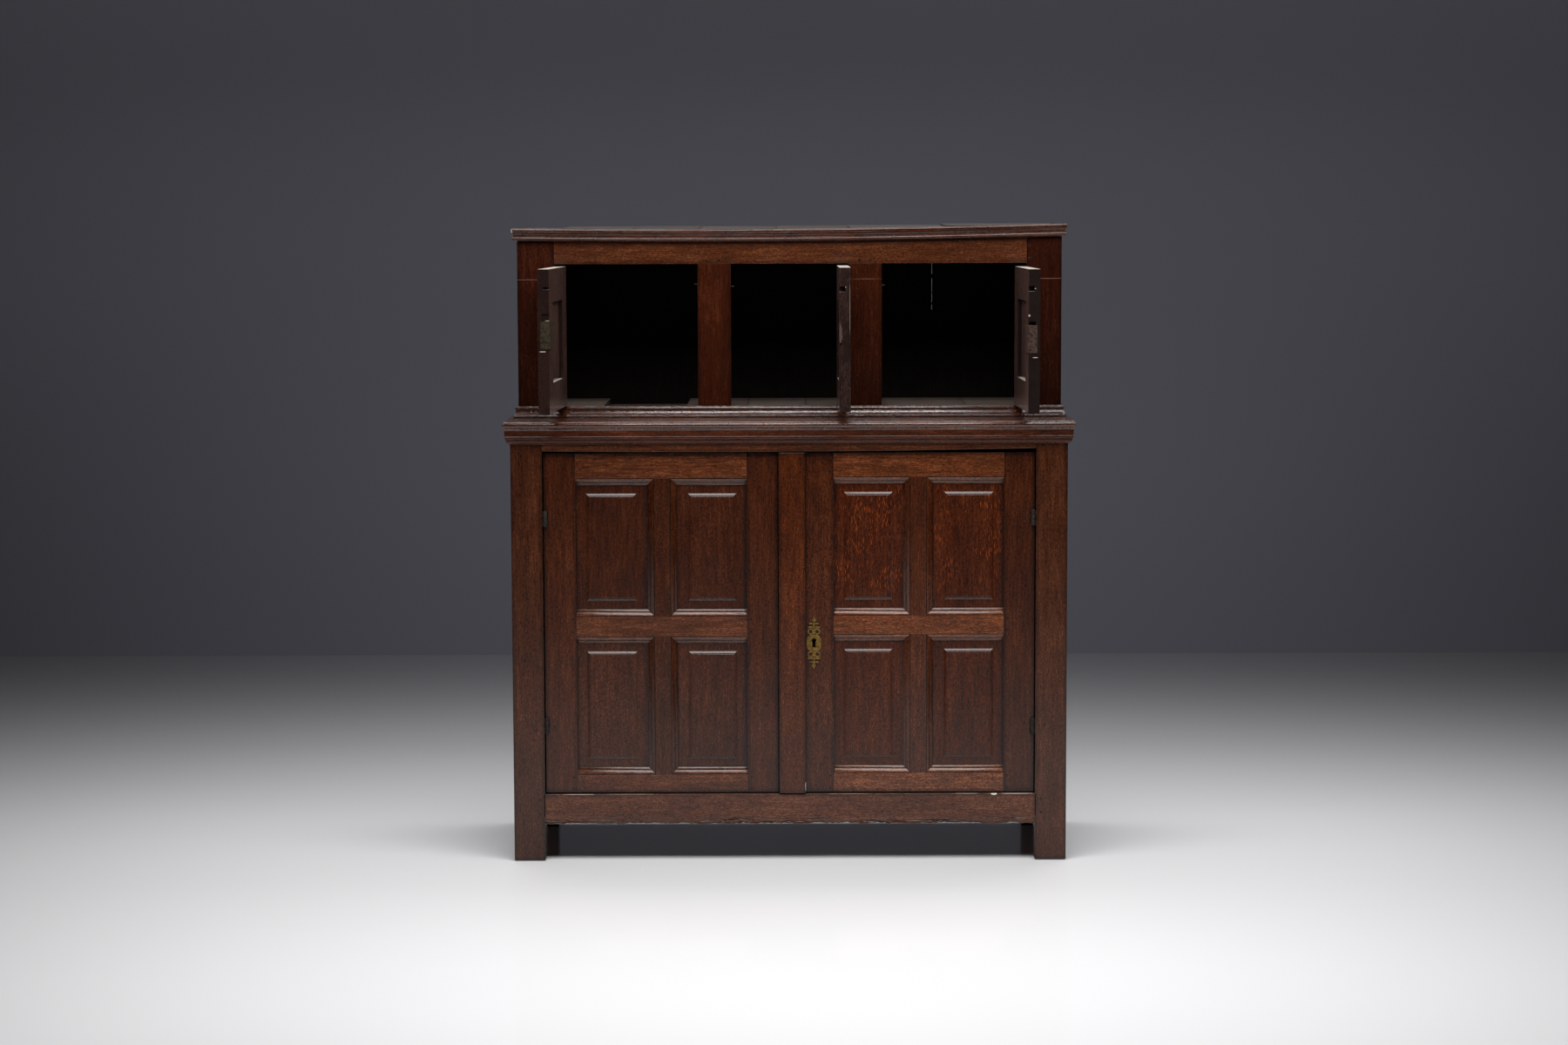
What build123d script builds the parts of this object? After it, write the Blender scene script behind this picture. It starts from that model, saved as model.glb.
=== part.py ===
from build123d import *
from dataclasses import dataclass, field
import math
import os

os.makedirs("parts", exist_ok=True)

# A joined oak court cupboard: a lower stage with two panelled doors and an upper stage,
# set back behind a moulded ledge, with three small doors that stand open.
# X runs to the right, Y into the cupboard and Z up.  The origin is on the floor, in the
# middle of the width, below the front face of the upper stage.

# Driving dimensions, in millimetres
lower_half = 726            # half the width of the lower stage
lower_front = -160          # front face of the lower stage
back = 370                  # outer face of the back boards
leg_width = 82
leg_depth = 60
lower_top = 1137            # top of the legs, below the ledge
ledge_top = 1160
floor_rail = (106, 178)     # bottom rail of the lower stage, low and high edge
rail_thick = 32

upper_left = -716           # outer faces of the upper stage
upper_right = 720.5
upper_openings = [(-618, -240), (-152.5, 158.5), (246, 628)]
stile_depth = 40
post_width = 60
upper_sill = 1174           # top of the rails that carry the upper floor
upper_floor = 1190
upper_head = 1566           # lower edge of the upper top rail
top_tenon = 1632            # level top of the joints below the top boards
cornice_left = 1660         # height of the cornice at its left end, middle and right end
cornice_middle = 1656.5
cornice_right = 1669.5

board_thick = 12
plank_thick = 18
plank_gap = 1.0
fit = 0.2                   # slack between pieces that share one file

moulding_width = 20         # stuck moulding on rails and muntins
quirk_width = 2
quirk_depth = 2.5
lip_depth = 9.6
groove = (-19, -11)         # panel tongue, measured from the face of the frame
tongue = 8                  # how far the tongue runs into the groove
field_foot = 0.8            # the raised field starts with this small upright step
field_rise = 4.0
field_step = 1.6
field_bevel = (1.1, 0.55)       # worn arris of that step: width and depth
tenon = (-19.5, -9.5)
shoulder = 8
peg_radius = 3.8

door_thick = 28
upper_door_thick = 29
strip_thick = 15
meeting_gap = 2

pin_radius = 2.0
pin_bore = 2.05
pin_head = 2.5
knuckle_gap = 0.3
leaf_thick = 2.0
nail_head = 1.7             # radius of the nails that hold the leaves
nail_share = 0.66           # how far along its leaf each nail sits


def keep(piece, name):
    """Label a finished piece and write it as one STEP file."""
    piece.label = name
    export_step(piece, f"parts/{name}.step")


def block(x, y, z, mode=Mode.ADD):
    """A box between two corners, each argument a (low, high) pair."""
    middle = ((x[0] + x[1]) / 2, (y[0] + y[1]) / 2, (z[0] + z[1]) / 2)
    with Locations(middle):
        Box(x[1] - x[0], y[1] - y[0], z[1] - z[0], mode=mode)


def slab(plane, u, v, w, mode=Mode.ADD):
    """A box on a plane: u along it, v up it, w out of it."""
    with BuildSketch(plane.offset(w[0])) as face:
        with Locations(((u[0] + u[1]) / 2, (v[0] + v[1]) / 2)):
            Rectangle(u[1] - u[0], v[1] - v[0])
    extrude(face.sketch, amount=w[1] - w[0], mode=mode)


def prism(plane, points, w, mode=Mode.SUBTRACT):
    """A straight-sided prism on a plane, from w[0] to w[1]."""
    with BuildSketch(plane.offset(w[0])) as face:
        Polygon(*points, align=None)
    extrude(face.sketch, amount=w[1] - w[0], mode=mode)


def rods(plane, points, radius, w, mode=Mode.ADD):
    """Round pegs or holes square to a plane."""
    with BuildSketch(plane.offset(w[0])) as ends:
        with Locations(*points):
            Circle(radius)
    extrude(ends.sketch, amount=w[1] - w[0], mode=mode)


# Framed panelling -------------------------------------------------------------------


@dataclass
class Framing:
    """Rails and muntins between two uprights, with panels in grooves.

    Coordinates are those of the plane: u along the frame, v up, w out of its face.
    """

    plane: Plane
    left: float                 # inner edges of the two uprights
    right: float
    rails: list                 # (low, high) flat face of each rail, from the bottom up
    muntins: list = field(default_factory=list)     # centre line of each muntin
    muntin_flat: float = 41
    thick: float = 28
    tenon_reach: float = 40
    peg_inset: float = 10
    field_side: float = 26      # flat margin between a panel's edge and its raised field
    field_end: float = 20

    def columns(self):
        """The (low, high) widths left open between uprights and muntins."""
        half = self.muntin_flat / 2 + moulding_width
        edges = [self.left]
        for centre in self.muntins:
            edges += [centre - half, centre + half]
        edges.append(self.right)
        return list(zip(edges[0::2], edges[1::2]))

    def rows(self):
        """The (low, high) heights left open between the moulded rails."""
        pairs = zip(self.rails[:-1], self.rails[1:])
        return [(low[1] + moulding_width, high[0] - moulding_width) for low, high in pairs]

    def pegs(self):
        """Two peg places on each upright beside each rail."""
        places = []
        for low, high in self.rails:
            for v in (low + 0.22 * (high - low), high - 0.14 * (high - low)):
                places.append((self.left - self.peg_inset, v))
                places.append((self.right + self.peg_inset, v))
        return places


def cut_moulding(origin, toward, normal, half_length):
    """Cut the stuck moulding along a flat edge; toward points into the opening."""
    section = Plane(origin=origin, x_dir=toward, z_dir=toward.cross(normal))
    with BuildSketch(section) as waste:
        with BuildLine():
            Polyline((0, 1), (0, -quirk_depth), (quirk_width, -quirk_depth), (quirk_width, -0.7))
            ThreePointArc((quirk_width, -0.7), (6.8, -2.5), (11, -5.4))
            Polyline((11, -5.4), (11, -6.4), (12.2, -6.4), (12.2, -5.9))
            ThreePointArc((12.2, -5.9), (15.5, -7), (18.4, -8.8))
            Polyline((18.4, -8.8), (18.4, -lip_depth), (moulding_width + 1, -lip_depth),
                     (moulding_width + 1, 1), (0, 1))
        make_face()
    extrude(waste.sketch, amount=half_length, both=True, mode=Mode.SUBTRACT)


def cut_grooves(framing):
    """Take the tongues of all panels out of the current piece."""
    for u in framing.columns():
        for v in framing.rows():
            slab(framing.plane, (u[0] - tongue, u[1] + tongue), (v[0] - tongue, v[1] + tongue),
                 groove, Mode.SUBTRACT)


def rail_tenons(framing, extra=0, mode=Mode.SUBTRACT):
    """The tenons of all rails; as mortises they are a little deeper."""
    for low, high in framing.rails:
        v = (low + shoulder, high - shoulder)
        reach = framing.tenon_reach + extra
        slab(framing.plane, (framing.left - reach, framing.left), v, tenon, mode)
        slab(framing.plane, (framing.right, framing.right + reach), v, tenon, mode)


def drill_pegs(framing, places=None):
    rods(framing.plane, places or framing.pegs(), peg_radius, (-framing.thick, 0), Mode.SUBTRACT)


def framing_rails(framing):
    """All rails of one frame, moulded towards the panels."""
    plane = framing.plane
    up = plane.y_dir
    middle = (framing.left + framing.right) / 2
    half_length = (framing.right - framing.left) / 2
    half = framing.muntin_flat / 2
    last = len(framing.rails) - 1
    with BuildPart() as rails:
        for index, (low, high) in enumerate(framing.rails):
            lower = low - moulding_width if index > 0 else low
            upper = high + moulding_width if index < last else high
            slab(plane, (framing.left, framing.right), (lower, upper), (-framing.thick, 0))
        for index, (low, high) in enumerate(framing.rails):
            if index > 0:
                edge = plane.from_local_coords(Vector(middle, low, 0))
                cut_moulding(edge, up * -1, plane.z_dir, half_length)
            if index < last:
                edge = plane.from_local_coords(Vector(middle, high, 0))
                cut_moulding(edge, up, plane.z_dir, half_length)
        for centre in framing.muntins:
            for below, above in zip(framing.rails[:-1], framing.rails[1:]):
                for edge, step in ((below[1], 1), (above[0], -1)):
                    flat = edge + step * moulding_width
                    wide = half + moulding_width
                    prism(plane, [(centre - half, edge), (centre + half, edge),
                                  (centre + wide, flat), (centre - wide, flat)],
                          (-framing.thick, 1))
                    v = sorted((edge, edge - step * shoulder * 3))
                    slab(plane, (centre - half + 3, centre + half - 3), v, tenon, Mode.SUBTRACT)
        cut_grooves(framing)
        rail_tenons(framing, mode=Mode.ADD)
        drill_pegs(framing)
    return rails


def framing_muntins(framing):
    """All muntins of one frame, with mitred ends on their mouldings."""
    plane = framing.plane
    across = plane.x_dir
    half = framing.muntin_flat / 2
    wide = half + moulding_width
    with BuildPart() as muntins:
        for centre in framing.muntins:
            for below, above in zip(framing.rails[:-1], framing.rails[1:]):
                low = below[1]
                high = above[0]
                slab(plane, (centre - wide, centre + wide), (low, high), (-framing.thick, 0))
                for side in (-1, 1):
                    middle = Vector(centre + side * half, (low + high) / 2, 0)
                    cut_moulding(plane.from_local_coords(middle), across * side, plane.z_dir,
                                 (high - low) / 2)
                    for end, step in ((low, 1), (high, -1)):
                        prism(plane, [(centre + side * half, end), (centre + side * wide, end),
                                      (centre + side * wide, end + step * moulding_width)],
                              (-framing.thick, 1))
                u = (centre - half + 3, centre + half - 3)
                slab(plane, u, (low - shoulder * 3, low), tenon)
                slab(plane, u, (high, high + shoulder * 3), tenon)
        cut_grooves(framing)
    return muntins


def framing_panels(framing):
    """All panels: a tongue all round and a raised field with a stepped edge."""
    plane = framing.plane
    ledge, slope, flat = 1, 5, 2
    with BuildPart() as panels:
        for u in framing.columns():
            for v in framing.rows():
                slab(plane, (u[0] - tongue, u[1] + tongue), (v[0] - tongue, v[1] + tongue), groove)
                size = (u[1] - u[0] - 2 * framing.field_side, v[1] - v[0] - 2 * framing.field_end)
                centre = ((u[0] + u[1]) / 2, (v[0] + v[1]) / 2)
                slab(plane, (centre[0] - size[0] / 2, centre[0] + size[0] / 2),
                     (centre[1] - size[1] / 2, centre[1] + size[1] / 2), (groove[1], groove[1] + field_foot))
                with BuildSketch(plane.offset(groove[1] + field_foot)) as foot:
                    with Locations(centre):
                        Rectangle(*[side - 2 * ledge for side in size])
                height = field_rise - field_foot
                extrude(foot.sketch, amount=height, taper=math.degrees(math.atan(slope / height)))
                top = groove[1] + field_rise
                inner = [side / 2 - ledge - slope - flat for side in size]
                riser = top + field_step - field_bevel[1]
                slab(plane, (centre[0] - inner[0], centre[0] + inner[0]),
                     (centre[1] - inner[1], centre[1] + inner[1]), (top, riser))
                with BuildSketch(plane.offset(riser)) as step:
                    with Locations(centre):
                        Rectangle(*[2 * side for side in inner])
                extrude(step.sketch, amount=field_bevel[1],
                        taper=math.degrees(math.atan(field_bevel[0] / field_bevel[1])))
    return panels


def framing_pegs(framing, places=None):
    with BuildPart() as pegs:
        rods(framing.plane, places or framing.pegs(), peg_radius, (-framing.thick, 0.4))
    return pegs


# Frames of the sides and the doors --------------------------------------------------

lower_inner = lower_half - leg_width
leg_back_face = lower_front + leg_depth
post_front = back - leg_depth

side_left = Framing(Plane(origin=(-lower_half, 0, 0), x_dir=(0, -1, 0), z_dir=(-1, 0, 0)),
                    left=-post_front, right=-leg_back_face,
                    rails=[floor_rail, (595, 647), (1040, lower_top)],
                    muntins=[-(post_front + leg_back_face) / 2], tenon_reach=34)
side_right = Framing(Plane(origin=(lower_half, 0, 0), x_dir=(0, 1, 0), z_dir=(1, 0, 0)),
                     left=leg_back_face, right=post_front,
                     rails=side_left.rails,
                     muntins=[(post_front + leg_back_face) / 2], tenon_reach=34)

upper_rails = [(ledge_top, 1222), (1588, top_tenon)]
upper_side_left = Framing(Plane(origin=(upper_left, 0, 0), x_dir=(0, -1, 0), z_dir=(-1, 0, 0)),
                          left=-(back - stile_depth), right=-stile_depth,
                          rails=upper_rails, tenon_reach=28)
upper_side_right = Framing(Plane(origin=(upper_right, 0, 0), x_dir=(0, 1, 0), z_dir=(1, 0, 0)),
                           left=stile_depth, right=back - stile_depth,
                           rails=upper_rails, tenon_reach=28)


@dataclass
class Door:
    """One hinged door.  u is measured from the hinge axis, in the door's own plane."""

    name: str
    side: int                   # -1 hinged on the left, +1 hinged on the right
    axis: tuple                 # x, y of the hinge axis
    axis_out: float             # how far the axis stands in front of the door's face
    angle: float                # degrees that the door stands open at rest
    width: float
    edge_gap: float             # from the axis to the door's hinged edge, towards the door
    heights: tuple
    thick: float
    hinge_heights: tuple
    hinge_length: float
    barrel: float               # radius of the hinge barrel

    def plane(self):
        turn = math.radians(self.side * self.angle)
        along = Vector(math.cos(turn), math.sin(turn), 0)
        outward = Vector(math.sin(turn), -math.cos(turn), 0)
        origin = Vector(self.axis[0], self.axis[1], 0) - outward * self.axis_out
        return Plane(origin=origin, x_dir=along, z_dir=outward)

    def span(self):
        near = -self.side * self.edge_gap
        far = near - self.side * self.width
        return (min(near, far), max(near, far))


lower_axis_x = 637
lower_axis_y = lower_front + 6
lower_door_heights = (181, 1077)
meeting = -29               # where the two lower doors meet

left_door = Door("left_door", -1, (-lower_axis_x, lower_axis_y), 6, 0,
                 width=meeting - meeting_gap / 2 + 641, edge_gap=-4, heights=lower_door_heights,
                 thick=door_thick, hinge_heights=(359, 905), hinge_length=40, barrel=5.5)
right_door = Door("right_door", 1, (lower_axis_x, lower_axis_y), 6, 0,
                  width=641 - meeting - meeting_gap / 2, edge_gap=-4, heights=lower_door_heights,
                  thick=door_thick, hinge_heights=(355, 906), hinge_length=40, barrel=5.5)

upper_axis_gap = 1.5
free_gap = 2
upper_doors = []
for name, side, opening, angle, top in (
        ("upper_left", -1, upper_openings[0], 92.8, 1560),
        ("upper_middle", 1, upper_openings[1], 90.4, 1561),
        ("upper_right", 1, upper_openings[2], 91.4, 1557)):
    hinge_edge = opening[0] if side < 0 else opening[1]
    upper_doors.append(Door(name, side, (hinge_edge - side * upper_axis_gap, -1), 1, angle,
                            width=opening[1] - opening[0] - 2 * upper_axis_gap - free_gap,
                            edge_gap=upper_axis_gap, heights=(1193, top),
                            thick=upper_door_thick, hinge_heights=(1262, 1490),
                            hinge_length=36, barrel=4.5))
upper_left_door, upper_middle_door, upper_right_door = upper_doors


def door_framing(door, left_stile, right_stile, rails, muntins, **extra):
    low, high = door.span()
    return Framing(door.plane(), left=low + left_stile, right=high - right_stile, rails=rails,
                   muntins=muntins, thick=door.thick, **extra)


left_framing = door_framing(
    left_door, 83, 81, [(lower_door_heights[0], 228), (595, 647), (1011, lower_door_heights[1])],
    muntins=[-332 + lower_axis_x])
right_framing = door_framing(
    right_door, 144, 80, [(lower_door_heights[0], 231), (600, 648.5), (1014, lower_door_heights[1])],
    muntins=[337.5 - lower_axis_x])
upper_framings = []
for door in upper_doors:
    hinge_stile = 88
    free_stile = 80
    stiles = (hinge_stile, free_stile) if door.side < 0 else (free_stile, hinge_stile)
    upper_framings.append(door_framing(
        door, *stiles, [(door.heights[0], 1250), (1495, door.heights[1])], [],
        field_side=30, field_end=22))


# Hinges -----------------------------------------------------------------------------


def hinge_cylinders(door, radius, thirds, mode=Mode.ADD, slack=0.0):
    """Upright cylinders on the hinge axis over the named thirds of each barrel."""
    length = door.hinge_length
    knuckle = (length - 2 * knuckle_gap) / 3
    for middle in door.hinge_heights:
        for third in thirds:
            low = middle - length / 2 + third * (knuckle + knuckle_gap)
            with Locations((door.axis[0], door.axis[1], low + knuckle / 2)):
                Cylinder(radius, knuckle + 2 * slack, mode=mode)


def leaf_heights(door, third):
    """Low and high ends of one third of each barrel, for the strip that joins the leaf."""
    knuckle = (door.hinge_length - 2 * knuckle_gap) / 3
    spans = []
    for middle in door.hinge_heights:
        low = middle - door.hinge_length / 2 + third * (knuckle + knuckle_gap)
        spans.append((low, low + knuckle))
    return spans


def pin_holes(door):
    for middle in door.hinge_heights:
        with Locations((door.axis[0], door.axis[1], middle)):
            Cylinder(pin_bore, door.hinge_length + 2, mode=Mode.SUBTRACT)


def frame_leaf(door, frame_face):
    """The two fixed leaves of one door: knuckles at both ends, plate let into the frame.

    Two nails in each leaf come up to the face of the frame, which is at y = frame_face.
    """
    out = door.side
    axis_x, axis_y = door.axis
    reach = 38
    clear = door.barrel + 2.5
    plate_y = (axis_y - leaf_thick / 2, axis_y + leaf_thick / 2)
    if door.axis_out < door.barrel / 2:
        plate_y = (axis_y + 2, axis_y + 2 + leaf_thick)
    with BuildPart() as leaves:
        hinge_cylinders(door, door.barrel, (0, 2))
        for middle in door.hinge_heights:
            half = door.hinge_length / 2
            block(sorted((axis_x + out * clear, axis_x + out * reach)), plate_y,
                  (middle - half, middle + half))
            nail_x = axis_x + out * nail_share * reach
            for height in (middle - half / 2, middle + half / 2):
                with Locations((nail_x, (plate_y[0] + frame_face) / 2, height)):
                    Cylinder(nail_head, plate_y[0] - frame_face + 0.5, rotation=(90, 0, 0))
        for third in (0, 2):
            for span in leaf_heights(door, third):
                block(sorted((axis_x, axis_x + out * (clear + 0.5))), plate_y, span)
        pin_holes(door)
    return leaves


def door_leaf(door):
    """The two moving leaves of one door: middle knuckle, plate let into the door's stile."""
    plane = door.plane()
    inward = -door.side
    reach = 36
    clear = door.barrel + 2.5
    proud = door.axis_out > door.barrel / 2
    plate_w = (-7, -7 + leaf_thick) if proud else (-3, -3 + leaf_thick)
    with BuildPart() as leaves:
        hinge_cylinders(door, door.barrel, (1,))
        for middle in door.hinge_heights:
            half = door.hinge_length / 2
            near = -leaf_thick / 2 if proud else clear
            slab(plane, sorted((inward * near, inward * reach)), (middle - half, middle + half), plate_w)
            nail_u = inward * nail_share * reach
            rods(plane, [(nail_u, middle - half / 2), (nail_u, middle + half / 2)], nail_head,
                 (plate_w[1] - 0.2, 0.25))
        for span in leaf_heights(door, 1):
            if proud:
                slab(plane, (-leaf_thick / 2, leaf_thick / 2), span, (plate_w[0], door.axis_out))
            else:
                slab(plane, sorted((0, inward * (clear + 0.5))), span, plate_w)
        pin_holes(door)
    return leaves


fixed_leaves = [frame_leaf(door, lower_front) for door in (left_door, right_door)]
fixed_leaves += [frame_leaf(door, 0) for door in upper_doors]
moving_leaves = {door.name: door_leaf(door) for door in [left_door, right_door] + upper_doors}

keep(Compound(children=[leaf.part for leaf in fixed_leaves]), "hinge_frame_leaves")
for door_name, leaf in moving_leaves.items():
    keep(leaf.part, f"{door_name}_hinge_leaves")

with BuildPart() as hinge_pins:
    for door in [left_door, right_door] + upper_doors:
        for middle in door.hinge_heights:
            top = middle + door.hinge_length / 2
            with Locations((door.axis[0], door.axis[1], middle)):
                Cylinder(pin_radius, door.hinge_length)
            with Locations((door.axis[0], door.axis[1], top)):
                Cone(door.barrel * 0.8, pin_radius, pin_head,
                     align=(Align.CENTER, Align.CENTER, Align.MIN))
keep(hinge_pins.part, "hinge_pins")


def cut_fixed_leaves(*leaves):
    for leaf in leaves:
        add(leaf.part, mode=Mode.SUBTRACT)


def cut_barrel_room(door):
    """Half-round room for a barrel that sits in the gap between door and frame."""
    for middle in door.hinge_heights:
        with Locations((door.axis[0], door.axis[1], middle)):
            Cylinder(door.barrel + 0.4, door.hinge_length + 2 * pin_head + 1, mode=Mode.SUBTRACT)


# Lower carcase ----------------------------------------------------------------------

front_rail_y = (lower_front, lower_front + rail_thick)
front_tenon_y = (lower_front + 11, lower_front + 21)
back_rail_y = (back - board_thick - 30, back - board_thick)
back_tenon_y = (back_rail_y[0] + 10, back_rail_y[0] + 20)
lower_head = (1083, 1080.5, 1088)       # lower edge of the top rail: left, middle, right
lower_head_rail = (1096, lower_top)
back_rails = [floor_rail, (595, 650), (1060, lower_top)]
leg_tenon = 42
floor_board_z = (150, 150 + plank_thick)
floor_groove = 8
leg_pegs = [(-657, 163.5), (-657, 125.4), (660, 163.9), (660, 127), (-658, 1094), (661, 1096)]
front_plane = Plane(origin=(0, lower_front, 0), x_dir=(1, 0, 0), z_dir=(0, -1, 0))


def cut_rail_mortises(x, rails, y, extra=1):
    """Mortises for rails that run left to right."""
    for low, high in rails:
        block(x, y, (low + shoulder - 0.01, high - shoulder + 0.01), Mode.SUBTRACT)


for side, name, framing, leaf in ((-1, "front_leg_left", side_left, fixed_leaves[0]),
                                  (1, "front_leg_right", side_right, fixed_leaves[1])):
    with BuildPart() as front_leg:
        block(sorted((side * lower_inner, side * lower_half)), (lower_front, leg_back_face),
              (0, lower_top))
        foot = front_leg.faces().sort_by(Axis.Z)[0]
        fillet(foot.edges(), radius=5)
        cut_rail_mortises(sorted((side * (lower_inner - 1), side * (lower_inner + leg_tenon))),
                          [floor_rail, lower_head_rail], front_tenon_y)
        rail_tenons(framing, extra=1)
        cut_grooves(framing)
        drill_pegs(framing)
        rods(front_plane, leg_pegs, peg_radius, (-30, 0), Mode.SUBTRACT)
        cut_fixed_leaves(leaf)
    keep(front_leg.part, name)

with BuildPart() as back_legs:
    for side, framing in ((-1, side_left), (1, side_right)):
        block(sorted((side * lower_inner, side * lower_half)), (post_front, back), (0, lower_top))
        cut_rail_mortises(sorted((side * (lower_inner - 1), side * (lower_inner + leg_tenon))),
                          back_rails, back_tenon_y)
    block((-lower_inner - 15, lower_inner + 15), (back - board_thick, back + 1), (90, lower_top + 1),
          Mode.SUBTRACT)
    for framing in (side_left, side_right):
        rail_tenons(framing, extra=1)
        cut_grooves(framing)
        drill_pegs(framing)
keep(back_legs.part, "back_legs")

with BuildPart() as lower_top_rail:
    with BuildSketch(front_plane) as head:
        with BuildLine():
            ThreePointArc((-lower_inner, lower_head[0]), (0, lower_head[1]), (lower_inner, lower_head[2]))
            Polyline((lower_inner, lower_head[2]), (lower_inner, lower_top), (-lower_inner, lower_top),
                     (-lower_inner, lower_head[0]))
        make_face()
    extrude(head.sketch, amount=-rail_thick)
    block((-lower_inner - leg_tenon + 1, lower_inner + leg_tenon - 1), front_tenon_y,
          (lower_head_rail[0] + shoulder, lower_head_rail[1] - shoulder))
    rods(front_plane, leg_pegs, peg_radius, (-30, 0), Mode.SUBTRACT)
keep(lower_top_rail.part, "lower_top_rail")

with BuildPart() as lower_bottom_rail:
    block((-lower_inner, lower_inner), front_rail_y, floor_rail)
    block((-lower_inner - leg_tenon + 1, lower_inner + leg_tenon - 1), front_tenon_y,
          (floor_rail[0] + shoulder, floor_rail[1] - shoulder))
    block((-lower_inner, lower_inner), (front_rail_y[1] - floor_groove, front_rail_y[1]),
          floor_board_z, Mode.SUBTRACT)
    rods(front_plane, leg_pegs, peg_radius, (-30, 0), Mode.SUBTRACT)
keep(lower_bottom_rail.part, "lower_bottom_rail")

with BuildPart() as lower_back_rails:
    for rail in back_rails:
        block((-lower_inner, lower_inner), back_rail_y, rail)
        block((-lower_inner - leg_tenon + 1, lower_inner + leg_tenon - 1), back_tenon_y,
              (rail[0] + shoulder, rail[1] - shoulder))
    block((-lower_inner, lower_inner), (back_rail_y[0], back_rail_y[0] + floor_groove),
          floor_board_z, Mode.SUBTRACT)
keep(lower_back_rails.part, "lower_back_rails")

keep(Compound(children=[piece(framing).part for framing in (side_left, side_right)
                        for piece in (framing_rails, framing_muntins)]), "lower_side_rails")
keep(Compound(children=[framing_panels(framing).part for framing in (side_left, side_right)]),
     "lower_side_panels")


def plank_row(edges, y, z):
    """Planks side by side along X, with a narrow gap between them."""
    for left, right in zip(edges[:-1], edges[1:]):
        block((left + plank_gap / 2, right - plank_gap / 2), y, z)


with BuildPart() as lower_back_boards:
    plank_row([-658.5, -455, -210, 12, 248, 446, 658.5], (back - board_thick, back), (112, lower_top))
keep(lower_back_boards.part, "lower_back_boards")

side_inner = lower_half - side_left.thick
floor_y = (front_rail_y[1] - floor_groove, back_rail_y[0] + floor_groove)
floor_joints = [floor_y[0], 12, 171, floor_y[1]]
with BuildPart() as lower_floor_boards:
    for near, far in zip(floor_joints[:-1], floor_joints[1:]):
        block((-side_inner + 0.5, side_inner - 0.5), (near, far - plank_gap), floor_board_z)
    for side in (-1, 1):
        corner = sorted((side * lower_inner, side * lower_half))
        block(corner, (lower_front, leg_back_face), floor_board_z, Mode.SUBTRACT)
        block(corner, (post_front, back), floor_board_z, Mode.SUBTRACT)
keep(lower_floor_boards.part, "lower_floor_boards")

shelf_z = (636, 636 + plank_thick)
shelf_y = (-92, post_front - 2)
shelf_boards = []
for y in ((shelf_y[0], 104.5), (105.5, shelf_y[1])):
    with BuildPart() as shelf_board:
        block((-side_inner + 1, side_inner - 1), y, shelf_z)
    shelf_boards.append(shelf_board.part)
for side in (-1, 1):
    with BuildPart() as batten:
        block(sorted((side * side_inner, side * (side_inner - 24))), shelf_y,
              (shelf_z[0] - 26, shelf_z[0]))
    shelf_boards.append(batten.part)
keep(Compound(children=shelf_boards), "lower_shelf")

# Mouldings --------------------------------------------------------------------------
# Each section is drawn with its inner face on x = 0, out of the cupboard along -x.


def base_section(plane):
    with BuildSketch(plane) as section:
        with BuildLine():
            Polyline((0, 0), (0, 31), (-6, 31), (-6.5, 29.2))
            ThreePointArc((-6.5, 29.2), (-8.1, 26.8), (-8.6, 24.2))
            Polyline((-8.6, 24.2), (-7, 23), (-6.4, 20.5))
            ThreePointArc((-6.4, 20.5), (-7.9, 14.5), (-11.6, 9.2))
            Polyline((-11.6, 9.2), (-11.6, 6.2), (-12.2, 5.4), (-12.2, 0), (0, 0))
        make_face()
    return section.sketch


def bed_section(plane):
    with BuildSketch(plane) as section:
        with BuildLine():
            Polyline((0, 0), (0, 37), (-14, 37), (-13.2, 22.4), (-14, 21.2), (-14, 19.8), (-12, 18.4),
                     (-12, 17.4), (-12.6, 16.6), (-12.6, 15.4), (-10.2, 13.6), (-10.2, 12.6))
            ThreePointArc((-10.2, 12.6), (-8.6, 6.2), (-3, 1.4))
            Polyline((-3, 1.4), (-3, 0), (0, 0))
        make_face()
    return section.sketch


def cornice_section(plane):
    with BuildSketch(plane) as section:
        with BuildLine():
            Polyline((0, -33), (0, 0), (-11.6, 0))
            ThreePointArc((-11.6, 0), (-13.6, -2), (-14.2, -5))
            Polyline((-14.2, -5), (-12.8, -6), (-12.8, -7.6), (-13.4, -8.4), (-13.4, -9.4))
            ThreePointArc((-13.4, -9.4), (-9.6, -13.4), (-8.2, -19.6))
            Polyline((-8.2, -19.6), (-9, -20.6))
            ThreePointArc((-9, -20.6), (-12.6, -25.4), (-8.6, -31.2))
            Polyline((-8.6, -31.2), (-7, -33), (0, -33))
        make_face()
    return section.sketch


def nosing_section(plane):
    """The moulded edge of a ledge board, 23 mm thick, over a body 60 mm wide."""
    with BuildSketch(plane) as section:
        with BuildLine():
            Polyline((60, -23), (60, 0), (-15, 0), (-15.6, -1), (-15.6, -2.6))
            ThreePointArc((-15.6, -2.6), (-17.9, -5.2), (-18.5, -9))
            ThreePointArc((-18.5, -9), (-17.9, -12.2), (-16, -15))
            Polyline((-16, -15), (-14.6, -16), (-14.6, -17.6), (-15.4, -18.6), (-15.4, -20.8),
                     (-14.4, -22), (-14.4, -23), (60, -23))
        make_face()
    return section.sketch


mitre_reach = 30
mitre_gap = 0.15


def footprint(corners, height, mode=Mode.INTERSECT):
    with BuildSketch(Plane.XY.offset(height[0])) as outline:
        Polygon(*corners, align=None)
    extrude(outline.sketch, amount=height[1] - height[0], mode=mode)


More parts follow.
